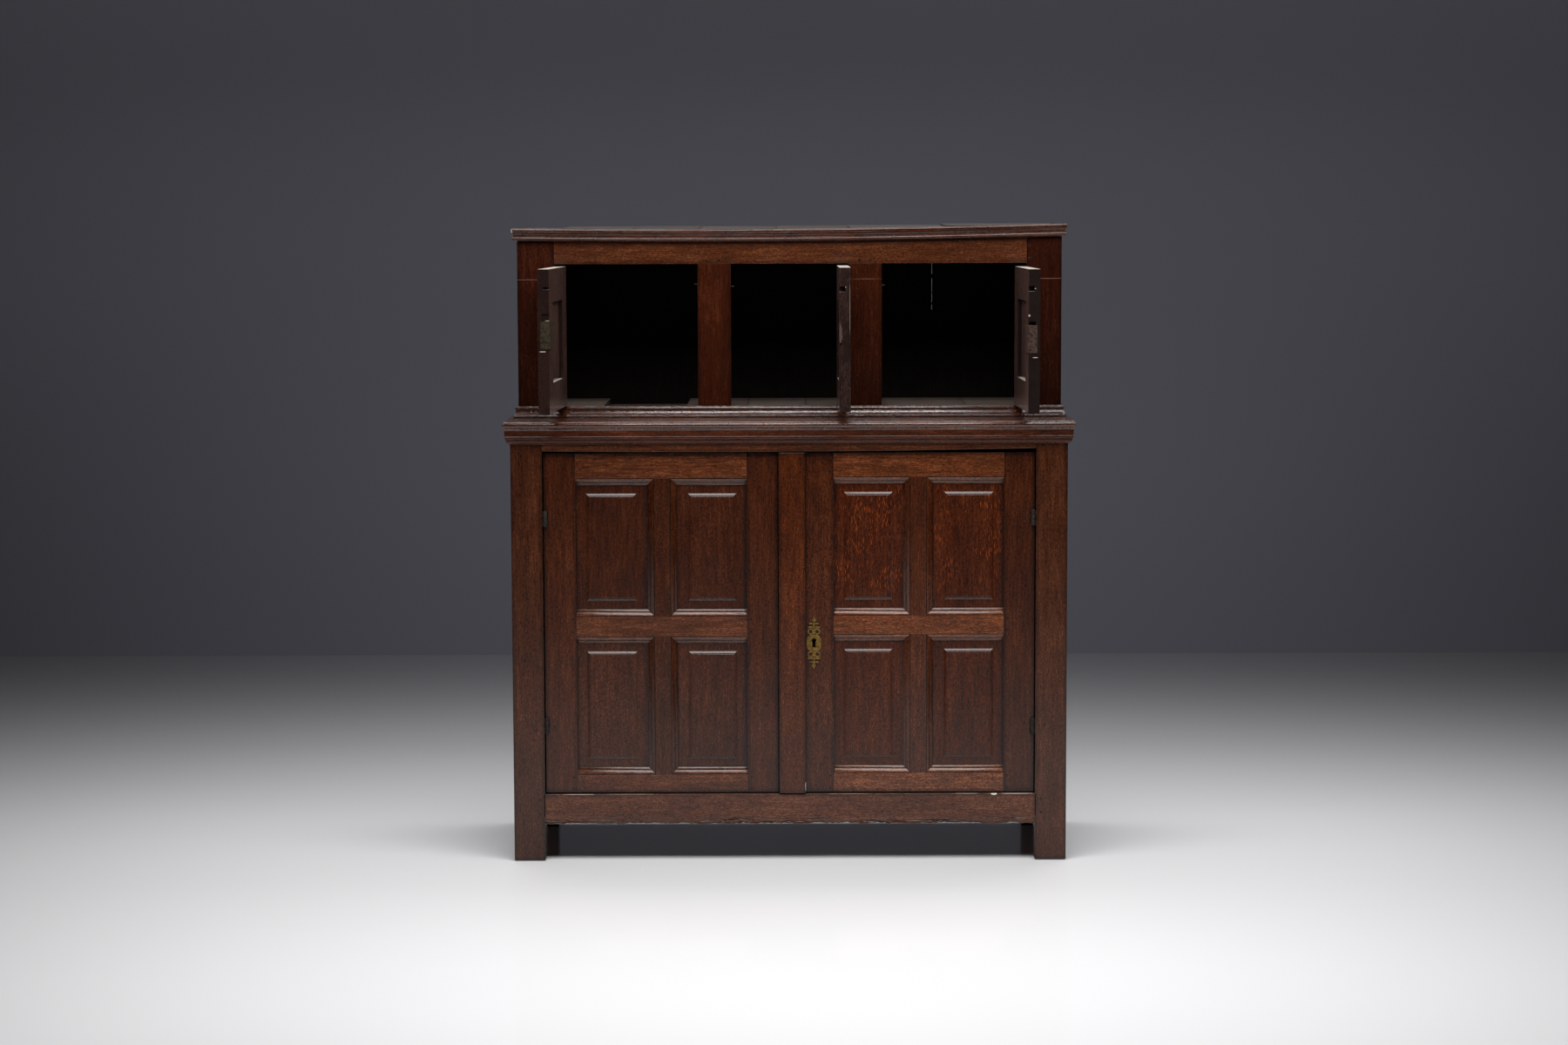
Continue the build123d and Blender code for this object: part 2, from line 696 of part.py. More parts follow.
def moulding_strips(section, left, right, front, levels, heights, arc=None):
    """Front and side strips of one moulding, mitred at the two front corners.

    levels are the section's heights on the left side, in front and on the right side.
    arc gives three heights for a front strip that isn't straight.
    """
    length = right - left + 2 * mitre_reach
    middle = (left + right) / 2
    inward = Vector(0, 1, 0)
    gap = mitre_gap
    strips = []
    with BuildPart() as front_strip:
        if arc:
            start = Vector(middle - length / 2, front, arc[0])
            with BuildLine() as path:
                ThreePointArc(start, (middle, front, arc[1]), (middle + length / 2, front, arc[2]))
            face = section(Plane(origin=start, x_dir=inward, z_dir=(1, 0, 0)))
            sweep(face, path=path.line)
        else:
            face = section(Plane(origin=(middle, front, levels[1]), x_dir=inward, z_dir=(1, 0, 0)))
            extrude(face, amount=length / 2, both=True)
        footprint([(left + gap, front), (left + gap - mitre_reach, front - mitre_reach),
                   (right - gap + mitre_reach, front - mitre_reach), (right - gap, front)], heights)
    strips.append(front_strip.part)
    for edge, side, level in ((left, -1, levels[0]), (right, 1, levels[2])):
        with BuildPart() as side_strip:
            origin = (edge, (front + back) / 2, level)
            face = section(Plane(origin=origin, x_dir=(-side, 0, 0), z_dir=(0, side, 0)))
            extrude(face, amount=(back - front) / 2 + mitre_reach, both=True)
            footprint([(edge, front + gap), (edge + side * mitre_reach, front + gap - mitre_reach),
                       (edge + side * mitre_reach, back), (edge, back)], heights)
        strips.append(side_strip.part)
    return strips


keep(Compound(children=moulding_strips(bed_section, -lower_half, lower_half, lower_front,
                                       [lower_top - 37] * 3, (1080, lower_top))), "waist_moulding")
keep(Compound(children=moulding_strips(base_section, upper_left, upper_right, 0,
                                       [ledge_top] * 3, (ledge_top, 1200))), "base_moulding")
cornice = moulding_strips(cornice_section, upper_left, upper_right, 0,
                          [cornice_left, 0, cornice_right], (1600, 1700),
                          arc=(cornice_left, cornice_middle, cornice_right))
keep(Compound(children=cornice), "cornice_moulding")

# The ledge: three boards with moulded edges, the front one moulded on three sides
ledge_splits = [lower_front - mitre_reach, 22, 198, back]
ledge_boards = []
for index, (near, far) in enumerate(zip(ledge_splits[:-1], ledge_splits[1:])):
    with BuildPart() as ledge_board:
        block((-lower_half, lower_half), (near, far - plank_gap), (lower_top, ledge_top))
        for side in (-1, 1):
            origin = (side * lower_half, (near + far) / 2, ledge_top)
            face = nosing_section(Plane(origin=origin, x_dir=(-side, 0, 0), z_dir=(0, side, 0)))
            extrude(face, amount=(far - near - plank_gap) / 2, both=True)
        if index == 0:
            with BuildPart(mode=Mode.PRIVATE) as front_shape:
                face = nosing_section(Plane(origin=(0, lower_front, ledge_top), x_dir=(0, 1, 0),
                                            z_dir=(1, 0, 0)))
                extrude(face, amount=lower_half + mitre_reach, both=True)
                block((-lower_half - mitre_reach, lower_half + mitre_reach),
                      (lower_front + 50, far), (lower_top, ledge_top))
            add(front_shape.part, mode=Mode.INTERSECT)
    ledge_boards.append(ledge_board.part)
keep(Compound(children=ledge_boards), "waist_boards")

# Upper carcase ----------------------------------------------------------------------


def cornice_height(x):
    """Height of the cornice's top edge, a shallow arc through its three heights."""
    share = (x - upper_left) / (upper_right - upper_left)
    chord = cornice_left + share * (cornice_right - cornice_left)
    sag = cornice_middle - (cornice_left + cornice_right) / 2
    return chord + 4 * sag * share * (1 - share)


# Top boards run from front to back; the frame has settled, so they slope up to the back
top_edges = [upper_left, -603, -410, -237, -32, 161, 416, upper_right]
top_back = [1659, 1663, 1663.5, 1662.5, 1664, 1665, 1668]
above_all = 1700


def top_row(low, high, gap):
    """Boards across the top; low and high are heights above the boards' upper faces."""
    for left, right, back_height in zip(top_edges[:-1], top_edges[1:], top_back):
        front_height = cornice_height((left + right) / 2) - 0.5
        with BuildSketch(Plane.YZ.offset(left + gap / 2)) as end:
            Polygon((0, front_height + high), (back, back_height + high),
                    (back, back_height + low), (0, front_height + low), align=None)
        extrude(end.sketch, amount=right - left - gap)


with BuildPart() as top_boards:
    top_row(-plank_thick, 0, plank_gap)
keep(top_boards.part, "top_boards")

with BuildPart() as room_above:
    top_row(-plank_thick, above_all - cornice_right, 0)


def trim_under_top():
    """Shape the top of the current piece to the underside of the top boards."""
    add(room_above.part, mode=Mode.SUBTRACT)


top_reach = 1655            # pieces that reach the top boards are made this high, then trimmed
upper_tenon_y = (15, 25)
upper_face = Plane(origin=(0, 0, 0), x_dir=(1, 0, 0), z_dir=(0, -1, 0))
upper_tenon = 40
bolt_height = (1384, 1394)
bolt_depth = (20, 27)
bolt_travel = 10
upper_pegs = [(-630, 1593), (-630, 1579), (635.5, 1611), (635.5, 1577),
              (-216, 1574), (-184, 1574), (187, 1574), (216, 1574)]

for side, name, framing, door, leaf, x in (
        (-1, "upper_stile_left", upper_side_left, upper_left_door, fixed_leaves[2],
         (upper_left, upper_openings[0][0])),
        (1, "upper_stile_right", upper_side_right, upper_right_door, fixed_leaves[4],
         (upper_openings[2][1], upper_right))):
    with BuildPart() as upper_stile:
        block(x, (0, stile_depth), (ledge_top, top_reach))
        trim_under_top()
        inner = x[1] if side < 0 else x[0]
        mortise_x = sorted((inner, inner + side * (upper_tenon + 1)))
        block(mortise_x, upper_tenon_y, (upper_head + shoulder, top_tenon - shoulder), Mode.SUBTRACT)
        rail_tenons(framing, extra=1)
        cut_grooves(framing)
        drill_pegs(framing)
        rods(upper_face, upper_pegs, peg_radius, (-30, 0), Mode.SUBTRACT)
        cut_barrel_room(door)
        cut_fixed_leaves(leaf)
    keep(upper_stile.part, name)

muntin_x = [(upper_openings[0][1], upper_openings[1][0]), (upper_openings[1][1], upper_openings[2][0])]
nail_y = 18
nail_radius = 1.6
nail_reach = 9
nail_places = [(muntin_x[0][0], -1, 1512), (muntin_x[0][1], 1, 1506), (muntin_x[1][1], 1, 1508)]


def stop_nail_rods(mode=Mode.ADD, depth=16):
    for x, side, height in nail_places:
        with Locations((x + side * (nail_reach - depth) / 2, nail_y, height)):
            Cylinder(nail_radius, nail_reach + depth, rotation=(0, 90, 0), mode=mode)


with BuildPart() as upper_muntins:
    for x in muntin_x:
        block(x, (0, stile_depth), (upper_sill, upper_head))
        block((x[0] + shoulder, x[1] - shoulder), upper_tenon_y, (upper_head, upper_head + 30))
    for x, side in ((muntin_x[0][0], 1), (muntin_x[1][1], -1)):
        block(sorted((x, x + side * (bolt_travel + 4))), (bolt_depth[0] - 1, bolt_depth[1] + 1),
              (bolt_height[0] - 1, bolt_height[1] + 1), Mode.SUBTRACT)
    rods(upper_face, upper_pegs, peg_radius, (-30, 0), Mode.SUBTRACT)
    stop_nail_rods(Mode.SUBTRACT)
    cut_barrel_room(upper_middle_door)
    cut_fixed_leaves(fixed_leaves[3])
keep(upper_muntins.part, "upper_muntins")

with BuildPart() as stop_nails:
    stop_nail_rods()
keep(stop_nails.part, "stop_nails")

rail_x = (upper_openings[0][0], upper_openings[2][1])
with BuildPart() as upper_top_rail:
    block(rail_x, (0, 34), (upper_head, top_reach))
    trim_under_top()
    block((rail_x[0] - upper_tenon, rail_x[1] + upper_tenon), upper_tenon_y,
          (upper_head + shoulder, top_tenon - shoulder))
    for x in muntin_x:
        block((x[0] + shoulder, x[1] - shoulder), upper_tenon_y, (upper_head, upper_head + 31),
              Mode.SUBTRACT)
    rods(upper_face, upper_pegs, peg_radius, (-30, 0), Mode.SUBTRACT)
keep(upper_top_rail.part, "upper_top_rail")

upper_inner_left = upper_left + upper_side_left.thick
upper_inner_right = upper_right - upper_side_right.thick
with BuildPart() as upper_bottom_rail:
    block(rail_x, (0, 60), (ledge_top, upper_sill))
keep(upper_bottom_rail.part, "upper_bottom_rail")

upper_post_y = (back - stile_depth, back)
upper_back_y = (back - board_thick - 24, back - board_thick)
with BuildPart() as upper_back_frame:
    for side, edge, framing in ((1, upper_left, upper_side_left), (-1, upper_right, upper_side_right)):
        block(sorted((edge, edge + side * post_width)), upper_post_y, (ledge_top, top_reach))
    block((upper_left + post_width - 15, upper_right - post_width + 15),
          (back - board_thick, back + 1), (ledge_top - 1, top_reach + 1), Mode.SUBTRACT)
    for framing in (upper_side_left, upper_side_right):
        rail_tenons(framing, extra=1)
        cut_grooves(framing)
        drill_pegs(framing)
    back_x = (upper_left + post_width + fit, upper_right - post_width - fit)
    block(back_x, upper_back_y, (1578, top_reach))
    trim_under_top()
    block(back_x, (upper_back_y[0] - 20, upper_back_y[1]), (ledge_top, upper_sill))
keep(upper_back_frame.part, "upper_back_frame")

side_rails = []
for framing in (upper_side_left, upper_side_right):
    moulded = framing_rails(framing)
    with BuildPart() as taller:
        add(moulded.part)
        slab(framing.plane, (framing.left, framing.right), (top_tenon, top_reach), (-framing.thick, 0))
        trim_under_top()
    side_rails.append(taller.part)
keep(Compound(children=side_rails), "upper_side_rails")
keep(Compound(children=[framing_panels(framing).part for framing in (upper_side_left, upper_side_right)]),
     "upper_side_panels")

slit_x = 392
slit_width = 4
with BuildPart() as upper_back_boards:
    plank_row([upper_left + post_width - 14.5, -452, -236, -28, 176, slit_x, upper_right - post_width + 14.5],
              (back - board_thick, back), (ledge_top, top_reach))
    trim_under_top()
    block((slit_x, slit_x + slit_width), (back - board_thick - 1, back + 1), (1432, 1574), Mode.SUBTRACT)
keep(upper_back_boards.part, "upper_back_boards")

# One floorboard is missing in the left compartment
floor_edges = [[upper_inner_left + 0.5, -491], [-272, -110, 45, 258, 470, upper_inner_right - 0.5]]
with BuildPart() as upper_floor_boards:
    for edges in floor_edges:
        plank_row(edges, (0.5, upper_back_y[1] - 0.5), (upper_sill, upper_floor))
    for x in ((upper_left, upper_openings[0][0]), *muntin_x, (upper_openings[2][1], upper_right)):
        block(x, (-1, stile_depth), (upper_sill, upper_floor), Mode.SUBTRACT)
    for x in ((upper_left, upper_left + post_width), (upper_right - post_width, upper_right)):
        block(x, upper_post_y, (upper_sill, upper_floor), Mode.SUBTRACT)
keep(upper_floor_boards.part, "upper_floor_boards")

with BuildPart() as frame_pegs:
    rods(front_plane, leg_pegs, peg_radius, (-30, 0.4))
    rods(upper_face, upper_pegs, peg_radius, (-30, 0.4))
    for framing in (side_left, side_right, upper_side_left, upper_side_right):
        rods(framing.plane, framing.pegs(), peg_radius, (-framing.thick, 0))
keep(frame_pegs.part, "frame_pegs")

# Lower doors ------------------------------------------------------------------------

key_u = 64 - lower_axis_x
key_v = 577
lock_u = (meeting + meeting_gap / 2 + 4 - lower_axis_x, 114 - lower_axis_x)
lock_v = (key_v - 44, key_v + 44)
lock_w = (-door_thick - 18, -door_thick)
bolt_v = (key_v + 8, key_v + 22)
bolt_w = (-door_thick - 12, -door_thick - 4)
bolt_end = meeting + meeting_gap / 2 + 2 - lower_axis_x


def keyhole(plane, u, v, w, scale=1.0):
    """A round head over a narrower slot that flares at its foot."""
    with BuildSketch(plane.offset(w[0])) as hole:
        with Locations((u, v + 6.5 * scale)):
            Circle(6 * scale)
        with Locations((u, v - 3 * scale)):
            Rectangle(8 * scale, 18 * scale)
        with Locations((u, v - 11 * scale)):
            Rectangle(10.5 * scale, 3.5 * scale)
    extrude(hole.sketch, amount=w[1] - w[0], mode=Mode.SUBTRACT)


for door, framing in ((left_door, left_framing), (right_door, right_framing)):
    low, high = door.span()
    plane = door.plane()
    with BuildPart() as stiles:
        slab(plane, (low, framing.left), door.heights, (-door.thick, 0))
        slab(plane, (framing.right, high), door.heights, (-door.thick, 0))
        rail_tenons(framing, extra=1)
        cut_grooves(framing)
        drill_pegs(framing)
        cut_fixed_leaves(moving_leaves[door.name])
        if door is right_door:
            keyhole(plane, key_u, key_v, (-door.thick - 1, 1), 0.85)
    keep(stiles.part, f"{door.name}_stiles")
    keep(framing_rails(framing).part, f"{door.name}_rails")
    keep(framing_muntins(framing).part, f"{door.name}_muntins")
    keep(framing_panels(framing).part, f"{door.name}_panels")
    keep(framing_pegs(framing).part, f"{door.name}_pegs")

right_plane = right_door.plane()
left_plane = left_door.plane()

with BuildPart() as cover_strip:
    slab(right_plane, (meeting + meeting_gap / 2 - lower_axis_x, 42 - lower_axis_x), (180, 1078),
         (0, strip_thick))
    chamfer(cover_strip.edges().filter_by(Axis.Z).sort_by(Axis.Y)[:2], 1.2)
keep(cover_strip.part, "cover_strip")

with BuildPart() as escutcheon:
    with BuildSketch(right_plane) as outline:
        with Locations((key_u, key_v)):
            RectangleRounded(38, 43, 14)
            Rectangle(4, 120)
        for way in (-1, 1):
            for hand in (-1, 1):
                with Locations((key_u + hand * 8.4, key_v + way * 30)):
                    Circle(8.4)
                with Locations((key_u + hand * 9, key_v + way * 41)):
                    Ellipse(8, 2.4)
                with Locations((key_u + hand * 7, key_v + way * 51)):
                    Ellipse(6, 2.2)
            with Locations((key_u, key_v + way * 60)):
                Ellipse(5.5, 4)
            with Locations((key_u, key_v + way * 63)):
                Ellipse(2.2, 6.5)
        for way in (-1, 1):
            with Locations((key_u - 8.4, key_v + way * 30), (key_u + 8.4, key_v + way * 30)):
                Circle(4.6, mode=Mode.SUBTRACT)
    extrude(outline.sketch, amount=1.6)
    keyhole(right_plane, key_u, key_v, (-1, 3))
keep(escutcheon.part, "escutcheon")

with BuildPart() as lock_case:
    slab(right_plane, lock_u, lock_v, lock_w)
    slab(right_plane, (lock_u[0] - 1, key_u + 20), (bolt_v[0] - 0.3, bolt_v[1] + 0.3),
         (bolt_w[0] - 0.3, bolt_w[1] + 0.3), Mode.SUBTRACT)
    keyhole(right_plane, key_u, key_v, (-door_thick - 2.5, -door_thick + 1), 0.7)
keep(lock_case.part, "lock_case")

with BuildPart() as lock_bolt:
    slab(right_plane, (bolt_end, key_u + 2), bolt_v, bolt_w)
keep(lock_bolt.part, "lock_bolt")

staple_u = (meeting - meeting_gap / 2 - 4) + lower_axis_x
with BuildPart() as lock_staple:
    slab(left_plane, (staple_u - 40, staple_u), (bolt_v[0] - 12, bolt_v[1] + 12),
         (-door_thick - 2, -door_thick))
    slab(left_plane, (staple_u - 18, staple_u), (bolt_v[0] - 5, bolt_v[1] + 5),
         (bolt_w[0] - 4, -door_thick - 2))
    slab(left_plane, (staple_u - 19, staple_u + 1), (bolt_v[0] - 1, bolt_v[1] + 1),
         (bolt_w[0] - 1, bolt_w[1] + 1), Mode.SUBTRACT)
keep(lock_staple.part, "lock_staple")

# Upper doors ------------------------------------------------------------------------

lock_size = (56, 70)
lock_low = {"upper_left": 1359, "upper_right": 1346}
old_recess = {"upper_left": (18, 2.5), "upper_right": (9, 9)}   # (height, depth), from a taller lock
nail_notches = {"upper_left": (1512, 3), "upper_middle": (1506, 7), "upper_right": (1508, 7)}
lock_sink = 12              # how far the lock is let into the back of the stile
selvedge = 22               # width of the lock's plate on the edge of the door
key_height = 1376


def edge_point(door):
    """u of the free edge, and the direction from it towards the hinge."""
    low, high = door.span()
    return (high, -1) if door.side < 0 else (low, 1)


def lock_slabs(door, plane, mode):
    free, inward = edge_point(door)
    rear = -door.thick
    v = (lock_low[door.name], lock_low[door.name] + lock_size[1])
    slab(plane, sorted((free, free + inward * lock_size[0])), v, (rear - 2, rear + lock_sink), mode)
    slab(plane, sorted((free, free + inward * 2)), v, (rear, rear + selvedge), mode)


for door, framing in zip(upper_doors, upper_framings):
    plane = door.plane()
    low, high = door.span()
    free, inward = edge_point(door)
    has_lock = door is not upper_middle_door
    rest = (-door.thick, 0)
    notch_middle, notch_half = nail_notches[door.name]
    with BuildPart() as stiles:
        slab(plane, (low, framing.left), door.heights, rest)
        slab(plane, (framing.right, high), door.heights, rest)
        rail_tenons(framing, extra=1)
        cut_grooves(framing)
        drill_pegs(framing)
        cut_barrel_room(door)
        cut_fixed_leaves(moving_leaves[door.name])
        slab(plane, sorted((free - inward, free + inward * (nail_reach + 3))),
             (notch_middle - notch_half, notch_middle + notch_half),
             (-door.thick - 1, -nail_y + 4), Mode.SUBTRACT)
        if has_lock:
            lock_slabs(door, plane, Mode.SUBTRACT)
            lock_top = lock_low[door.name] + lock_size[1]
            recess_height, recess_depth = old_recess[door.name]
            slab(plane, sorted((free - inward, free + inward * recess_depth)),
                 (lock_top - 1, lock_top + recess_height),
                 (-door.thick - 1, -door.thick + selvedge - 4), Mode.SUBTRACT)
            keyhole(plane, free + inward * 32, key_height, (-door.thick - 1, 1), 0.62)
    rails = framing_rails(framing)
    pegs = framing_pegs(framing)
    keep(Compound(children=[stiles.part, rails.part, pegs.part]), f"{door.name}_frame")
    keep(framing_panels(framing).part, f"{door.name}_panel")
    if has_lock:
        bolt_face = (-bolt_depth[1], -bolt_depth[0])
        bolt_rest = free + inward * 0.5
        with BuildPart() as lock:
            lock_slabs(door, plane, Mode.ADD)
            slab(plane, sorted((free - inward, free + inward * 46)),
                 (bolt_height[0] - 0.3, bolt_height[1] + 0.3),
                 (bolt_face[0] - 0.3, bolt_face[1] + 0.3), Mode.SUBTRACT)
            keyhole(plane, free + inward * 32, key_height,
                    (-door.thick + lock_sink - 3, -door.thick + lock_sink + 1), 0.5)
        keep(lock.part, f"{door.name}_lock")
        with BuildPart() as bolt:
            slab(plane, sorted((bolt_rest, bolt_rest + inward * 34)), bolt_height, bolt_face)
        keep(bolt.part, f"{door.name}_bolt")
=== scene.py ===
import math

import bpy
import numpy as np
from mathutils import Matrix, Vector, noise


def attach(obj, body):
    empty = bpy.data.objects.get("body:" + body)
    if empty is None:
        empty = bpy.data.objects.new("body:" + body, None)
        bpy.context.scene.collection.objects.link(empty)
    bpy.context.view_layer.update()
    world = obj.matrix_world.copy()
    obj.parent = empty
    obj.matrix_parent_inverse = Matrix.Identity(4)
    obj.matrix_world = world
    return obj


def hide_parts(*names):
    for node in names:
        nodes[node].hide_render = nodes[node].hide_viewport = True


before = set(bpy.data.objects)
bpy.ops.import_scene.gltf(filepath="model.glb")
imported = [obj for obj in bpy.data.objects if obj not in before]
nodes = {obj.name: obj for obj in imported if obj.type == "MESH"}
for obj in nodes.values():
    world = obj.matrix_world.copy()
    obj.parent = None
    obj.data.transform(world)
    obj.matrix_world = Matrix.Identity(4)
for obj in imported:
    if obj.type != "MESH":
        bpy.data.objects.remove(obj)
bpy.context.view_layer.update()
mm = 0.001


def srgb(red, green, blue):
    # a colour as given on screen, as the linear values that shaders use
    return tuple((c / 255 / 12.92) if c < 10 else ((c / 255 + 0.055) / 1.055) ** 2.4
                 for c in (red, green, blue)) + (1.0,)


class Value:
    # wraps a socket, so that sums on values read as Python and add their Math nodes

    def __init__(self, paint, socket):
        self.paint = paint
        self.socket = socket

    def sum(self, operation, *others):
        return self.paint.node("ShaderNodeMath", {"operation": operation}, {
            index: other for index, other in enumerate((self,) + others)})

    def flipped(self, operation, other):
        return self.paint.node("ShaderNodeMath", {"operation": operation}, {0: other, 1: self})

    def __add__(self, other):
        return self.sum("ADD", other)

    __radd__ = __add__

    def __mul__(self, other):
        return self.sum("MULTIPLY", other)

    __rmul__ = __mul__

    def __sub__(self, other):
        return self.sum("SUBTRACT", other)

    def __rsub__(self, other):
        return self.flipped("SUBTRACT", other)

    def __truediv__(self, other):
        return self.sum("DIVIDE", other)

    def __rtruediv__(self, other):
        return self.flipped("DIVIDE", other)

    def fraction(self):
        return self.sum("FRACT")

    def step(self, low, high):
        # 0 below low, 1 above high, smooth between; low may be the larger one
        return self.paint.node("ShaderNodeMapRange", {"interpolation_type": "SMOOTHSTEP"},
                               {"Value": self, "From Min": low, "From Max": high})


class Paint:
    # the nodes of one material, or of the world

    def __init__(self, owner):
        self.owner = owner
        owner.use_nodes = True
        self.tree = owner.node_tree
        self.tree.nodes.clear()

    def node(self, kind, settings=None, values=None, output=0):
        made = self.tree.nodes.new(kind)
        for name, setting in (settings or {}).items():
            setattr(made, name, setting)
        for name, value in (values or {}).items():
            socket = made.inputs[name]
            if isinstance(value, Value):
                self.tree.links.new(value.socket, socket)
            else:
                socket.default_value = value
        return Value(self, made.outputs[output]) if made.outputs else made

    def attribute(self, name):
        return self.node("ShaderNodeAttribute", {"attribute_name": name}, output="Vector")

    def parts(self, vector):
        # the three numbers of a vector
        split = self.node("ShaderNodeSeparateXYZ", values={"Vector": vector})
        return [Value(self, socket) for socket in split.socket.node.outputs]

    def vector(self, x, y, z):
        return self.node("ShaderNodeCombineXYZ", values={"X": x, "Y": y, "Z": z})

    def stretch(self, vector, scale):
        return self.node("ShaderNodeVectorMath", {"operation": "MULTIPLY"}, {0: vector, 1: scale})

    def moved(self, vector, other):
        return self.node("ShaderNodeVectorMath", {"operation": "ADD"}, {0: vector, 1: other})

    def length(self, vector):
        return self.node("ShaderNodeVectorMath", {"operation": "LENGTH"}, {0: vector}, output="Value")

    def facing(self, direction):
        # how far the surface faces a direction of its own body, -1 to 1
        normal = self.node("ShaderNodeTexCoord", output="Normal")
        return self.node("ShaderNodeVectorMath", {"operation": "DOT_PRODUCT"},
                         {0: normal, 1: direction}, output="Value")

    def noise(self, vector, scale, detail=2.0, roughness=0.5):
        # scale is in features per metre: one number, or one for each way
        scaled = self.stretch(vector, scale) if isinstance(scale, tuple) else vector
        return self.node("ShaderNodeTexNoise", values={
            "Vector": scaled, "Scale": 1.0 if isinstance(scale, tuple) else scale,
            "Detail": detail, "Roughness": roughness})

    def mix(self, share, low, high, blend="MIX"):
        # colours only; share 0 gives low and 1 gives high
        return self.node("ShaderNodeMix", {"data_type": "RGBA", "blend_type": blend},
                         {0: share, 6: low, 7: high}, output=2)

    def bump(self, height, distance, normal=None):
        values = {"Height": height, "Distance": distance, "Strength": 1.0}
        if normal:
            values["Normal"] = normal
        return self.node("ShaderNodeBump", values=values)

    def surface(self, **values):
        # the main shader; names are those of its sockets, with _ for a space
        return self.node("ShaderNodeBsdfPrincipled",
                         values={name.replace("_", " "): value for name, value in values.items()})

    def hollow(self, distance):
        # 1 on open faces and less in corners within the distance
        return self.node("ShaderNodeAmbientOcclusion", {"samples": 6}, {"Distance": distance}, output="AO")

    def finish(self, shader, kind="ShaderNodeOutputMaterial"):
        self.node(kind, values={"Surface": shader})
        return self.owner


gluedWithin = 0.00001           # corners closer than this are one corner
woodSize = 2.5                  # metres of imaginary tree that boards are cut from
arrises = {
    "flatWithin": 0.5,          # degrees; faces that bend less are one face
    "sharpFrom": 32,            # edges that bend more are rounded
    "segments": 2,
}
front = (0, -1, 0)
back = (0, 1, 0)
side = (1, 0, 0)
top = (0, 0, 1)


def pointsOf(mesh):
    found = np.empty(len(mesh.vertices) * 3)
    mesh.vertices.foreach_get("co", found)
    return found.reshape(-1, 3)


def separateBoards(mesh, points):
    # a number for each vertex, the same for all vertices of one board
    keys = np.round(points / gluedWithin).astype(np.int64)
    corner = np.unique(keys, axis=0, return_inverse=True)[1].reshape(-1)
    ends = np.empty(len(mesh.edges) * 2, dtype=np.int64)
    mesh.edges.foreach_get("vertices", ends)
    ends = corner[ends.reshape(-1, 2)]
    label = np.arange(corner.max() + 1)
    while True:
        lowest = np.minimum(label[ends[:, 0]], label[ends[:, 1]])
        after = label.copy()
        np.minimum.at(after, ends[:, 0], lowest)
        np.minimum.at(after, ends[:, 1], lowest)
        after = after[after]
        if (after == label).all():
            break
        label = after
    return np.unique(label[corner], return_inverse=True)[1].reshape(-1)


def cutBoards(node, outward, along=None):
    # writes where each point lies in its board: across, out of the face and along the grain
    mesh = node.data
    points = pointsOf(mesh)
    board = separateBoards(mesh, points)
    outward = Vector(outward).normalized()
    level = outward.cross(Vector(top)) if abs(outward.z) < 0.9 else Vector(side)
    third = level.cross(outward)
    choices = {"side": level, "up": third, "out": outward}
    layers = {name: np.zeros_like(points) for name in ("grain", "luck", "near", "far")}
    draw = np.random.default_rng(sum(ord(letter) * place for place, letter in enumerate(node.name, 7)))
    for number in range(board.max() + 1):
        own = board == number
        here = points[own]
        if along:
            length = choices[along]
        else:
            length = max(choices.values(), key=lambda way: np.ptp(here @ np.array(way)))
        depth = outward if length != outward else third
        turned = here @ np.array([depth.cross(length), depth, length]).T
        low, high = turned.min(0), turned.max(0)
        layers["grain"][own] = turned - (low + high) / 2 + draw.uniform(-woodSize, woodSize, 3)
        layers["luck"][own] = draw.uniform(0, 1, 3)
        layers["near"][own] = turned - low
        layers["far"][own] = high - turned
    for name, values in layers.items():
        layer = mesh.attributes.new(name, "FLOAT_VECTOR", "POINT")
        layer.data.foreach_set("vector", values.astype(np.float32).reshape(-1))


def easeEdges(node, width):
    # the arrises are worn round by a width in mm; the mesh itself stays as it is
    weld = node.modifiers.new("weld", "WELD")
    weld.merge_threshold = gluedWithin
    flat = node.modifiers.new("flat", "DECIMATE")
    flat.decimate_type = "DISSOLVE"
    flat.angle_limit = math.radians(arrises["flatWithin"])
    edge = node.modifiers.new("edge", "BEVEL")
    edge.width = width * mm
    edge.segments = arrises["segments"]
    edge.limit_method = "ANGLE"
    edge.angle_limit = math.radians(arrises["sharpFrom"])
    edge.harden_normals = True
    edge.miter_outer = "MITER_ARC"


figure = {      # features per metre across, out of the face and along the grain; then detail, roughness
    "wander": ((6, 6, 1.3), 2, 0.5),
    "speck": ((520, 520, 330), 2, 0.7),
    "fibre": ((360, 360, 110), 3, 0.7),
    "streak": ((170, 170, 20), 3, 0.65),
    "band": ((60, 60, 6), 3, 0.6),
    "cloud": ((13, 13, 5), 3, 0.6),
    "blotch": ((18, 18, 11), 4, 0.65),
    "pores": ((620, 620, 70), 2, 0.6),
    "sway": ((30, 30, 30), 2, 0.5),
    "rayPatches": ((15, 15, 9), 2, 0.5),
    "ragged": ((70, 70, 30), 3, 0.5),
    "patchy": ((60, 60, 30), 3, 0.65),
    "dents": ((210, 210, 150), 3, 0.6),
    "grit": ((190, 190, 120), 3, 0.7),
    "planed": ((20, 20, 3.0), 2, 0.5),
}
rayCells = (300, 90, 40)        # rays per metre, the same three ways


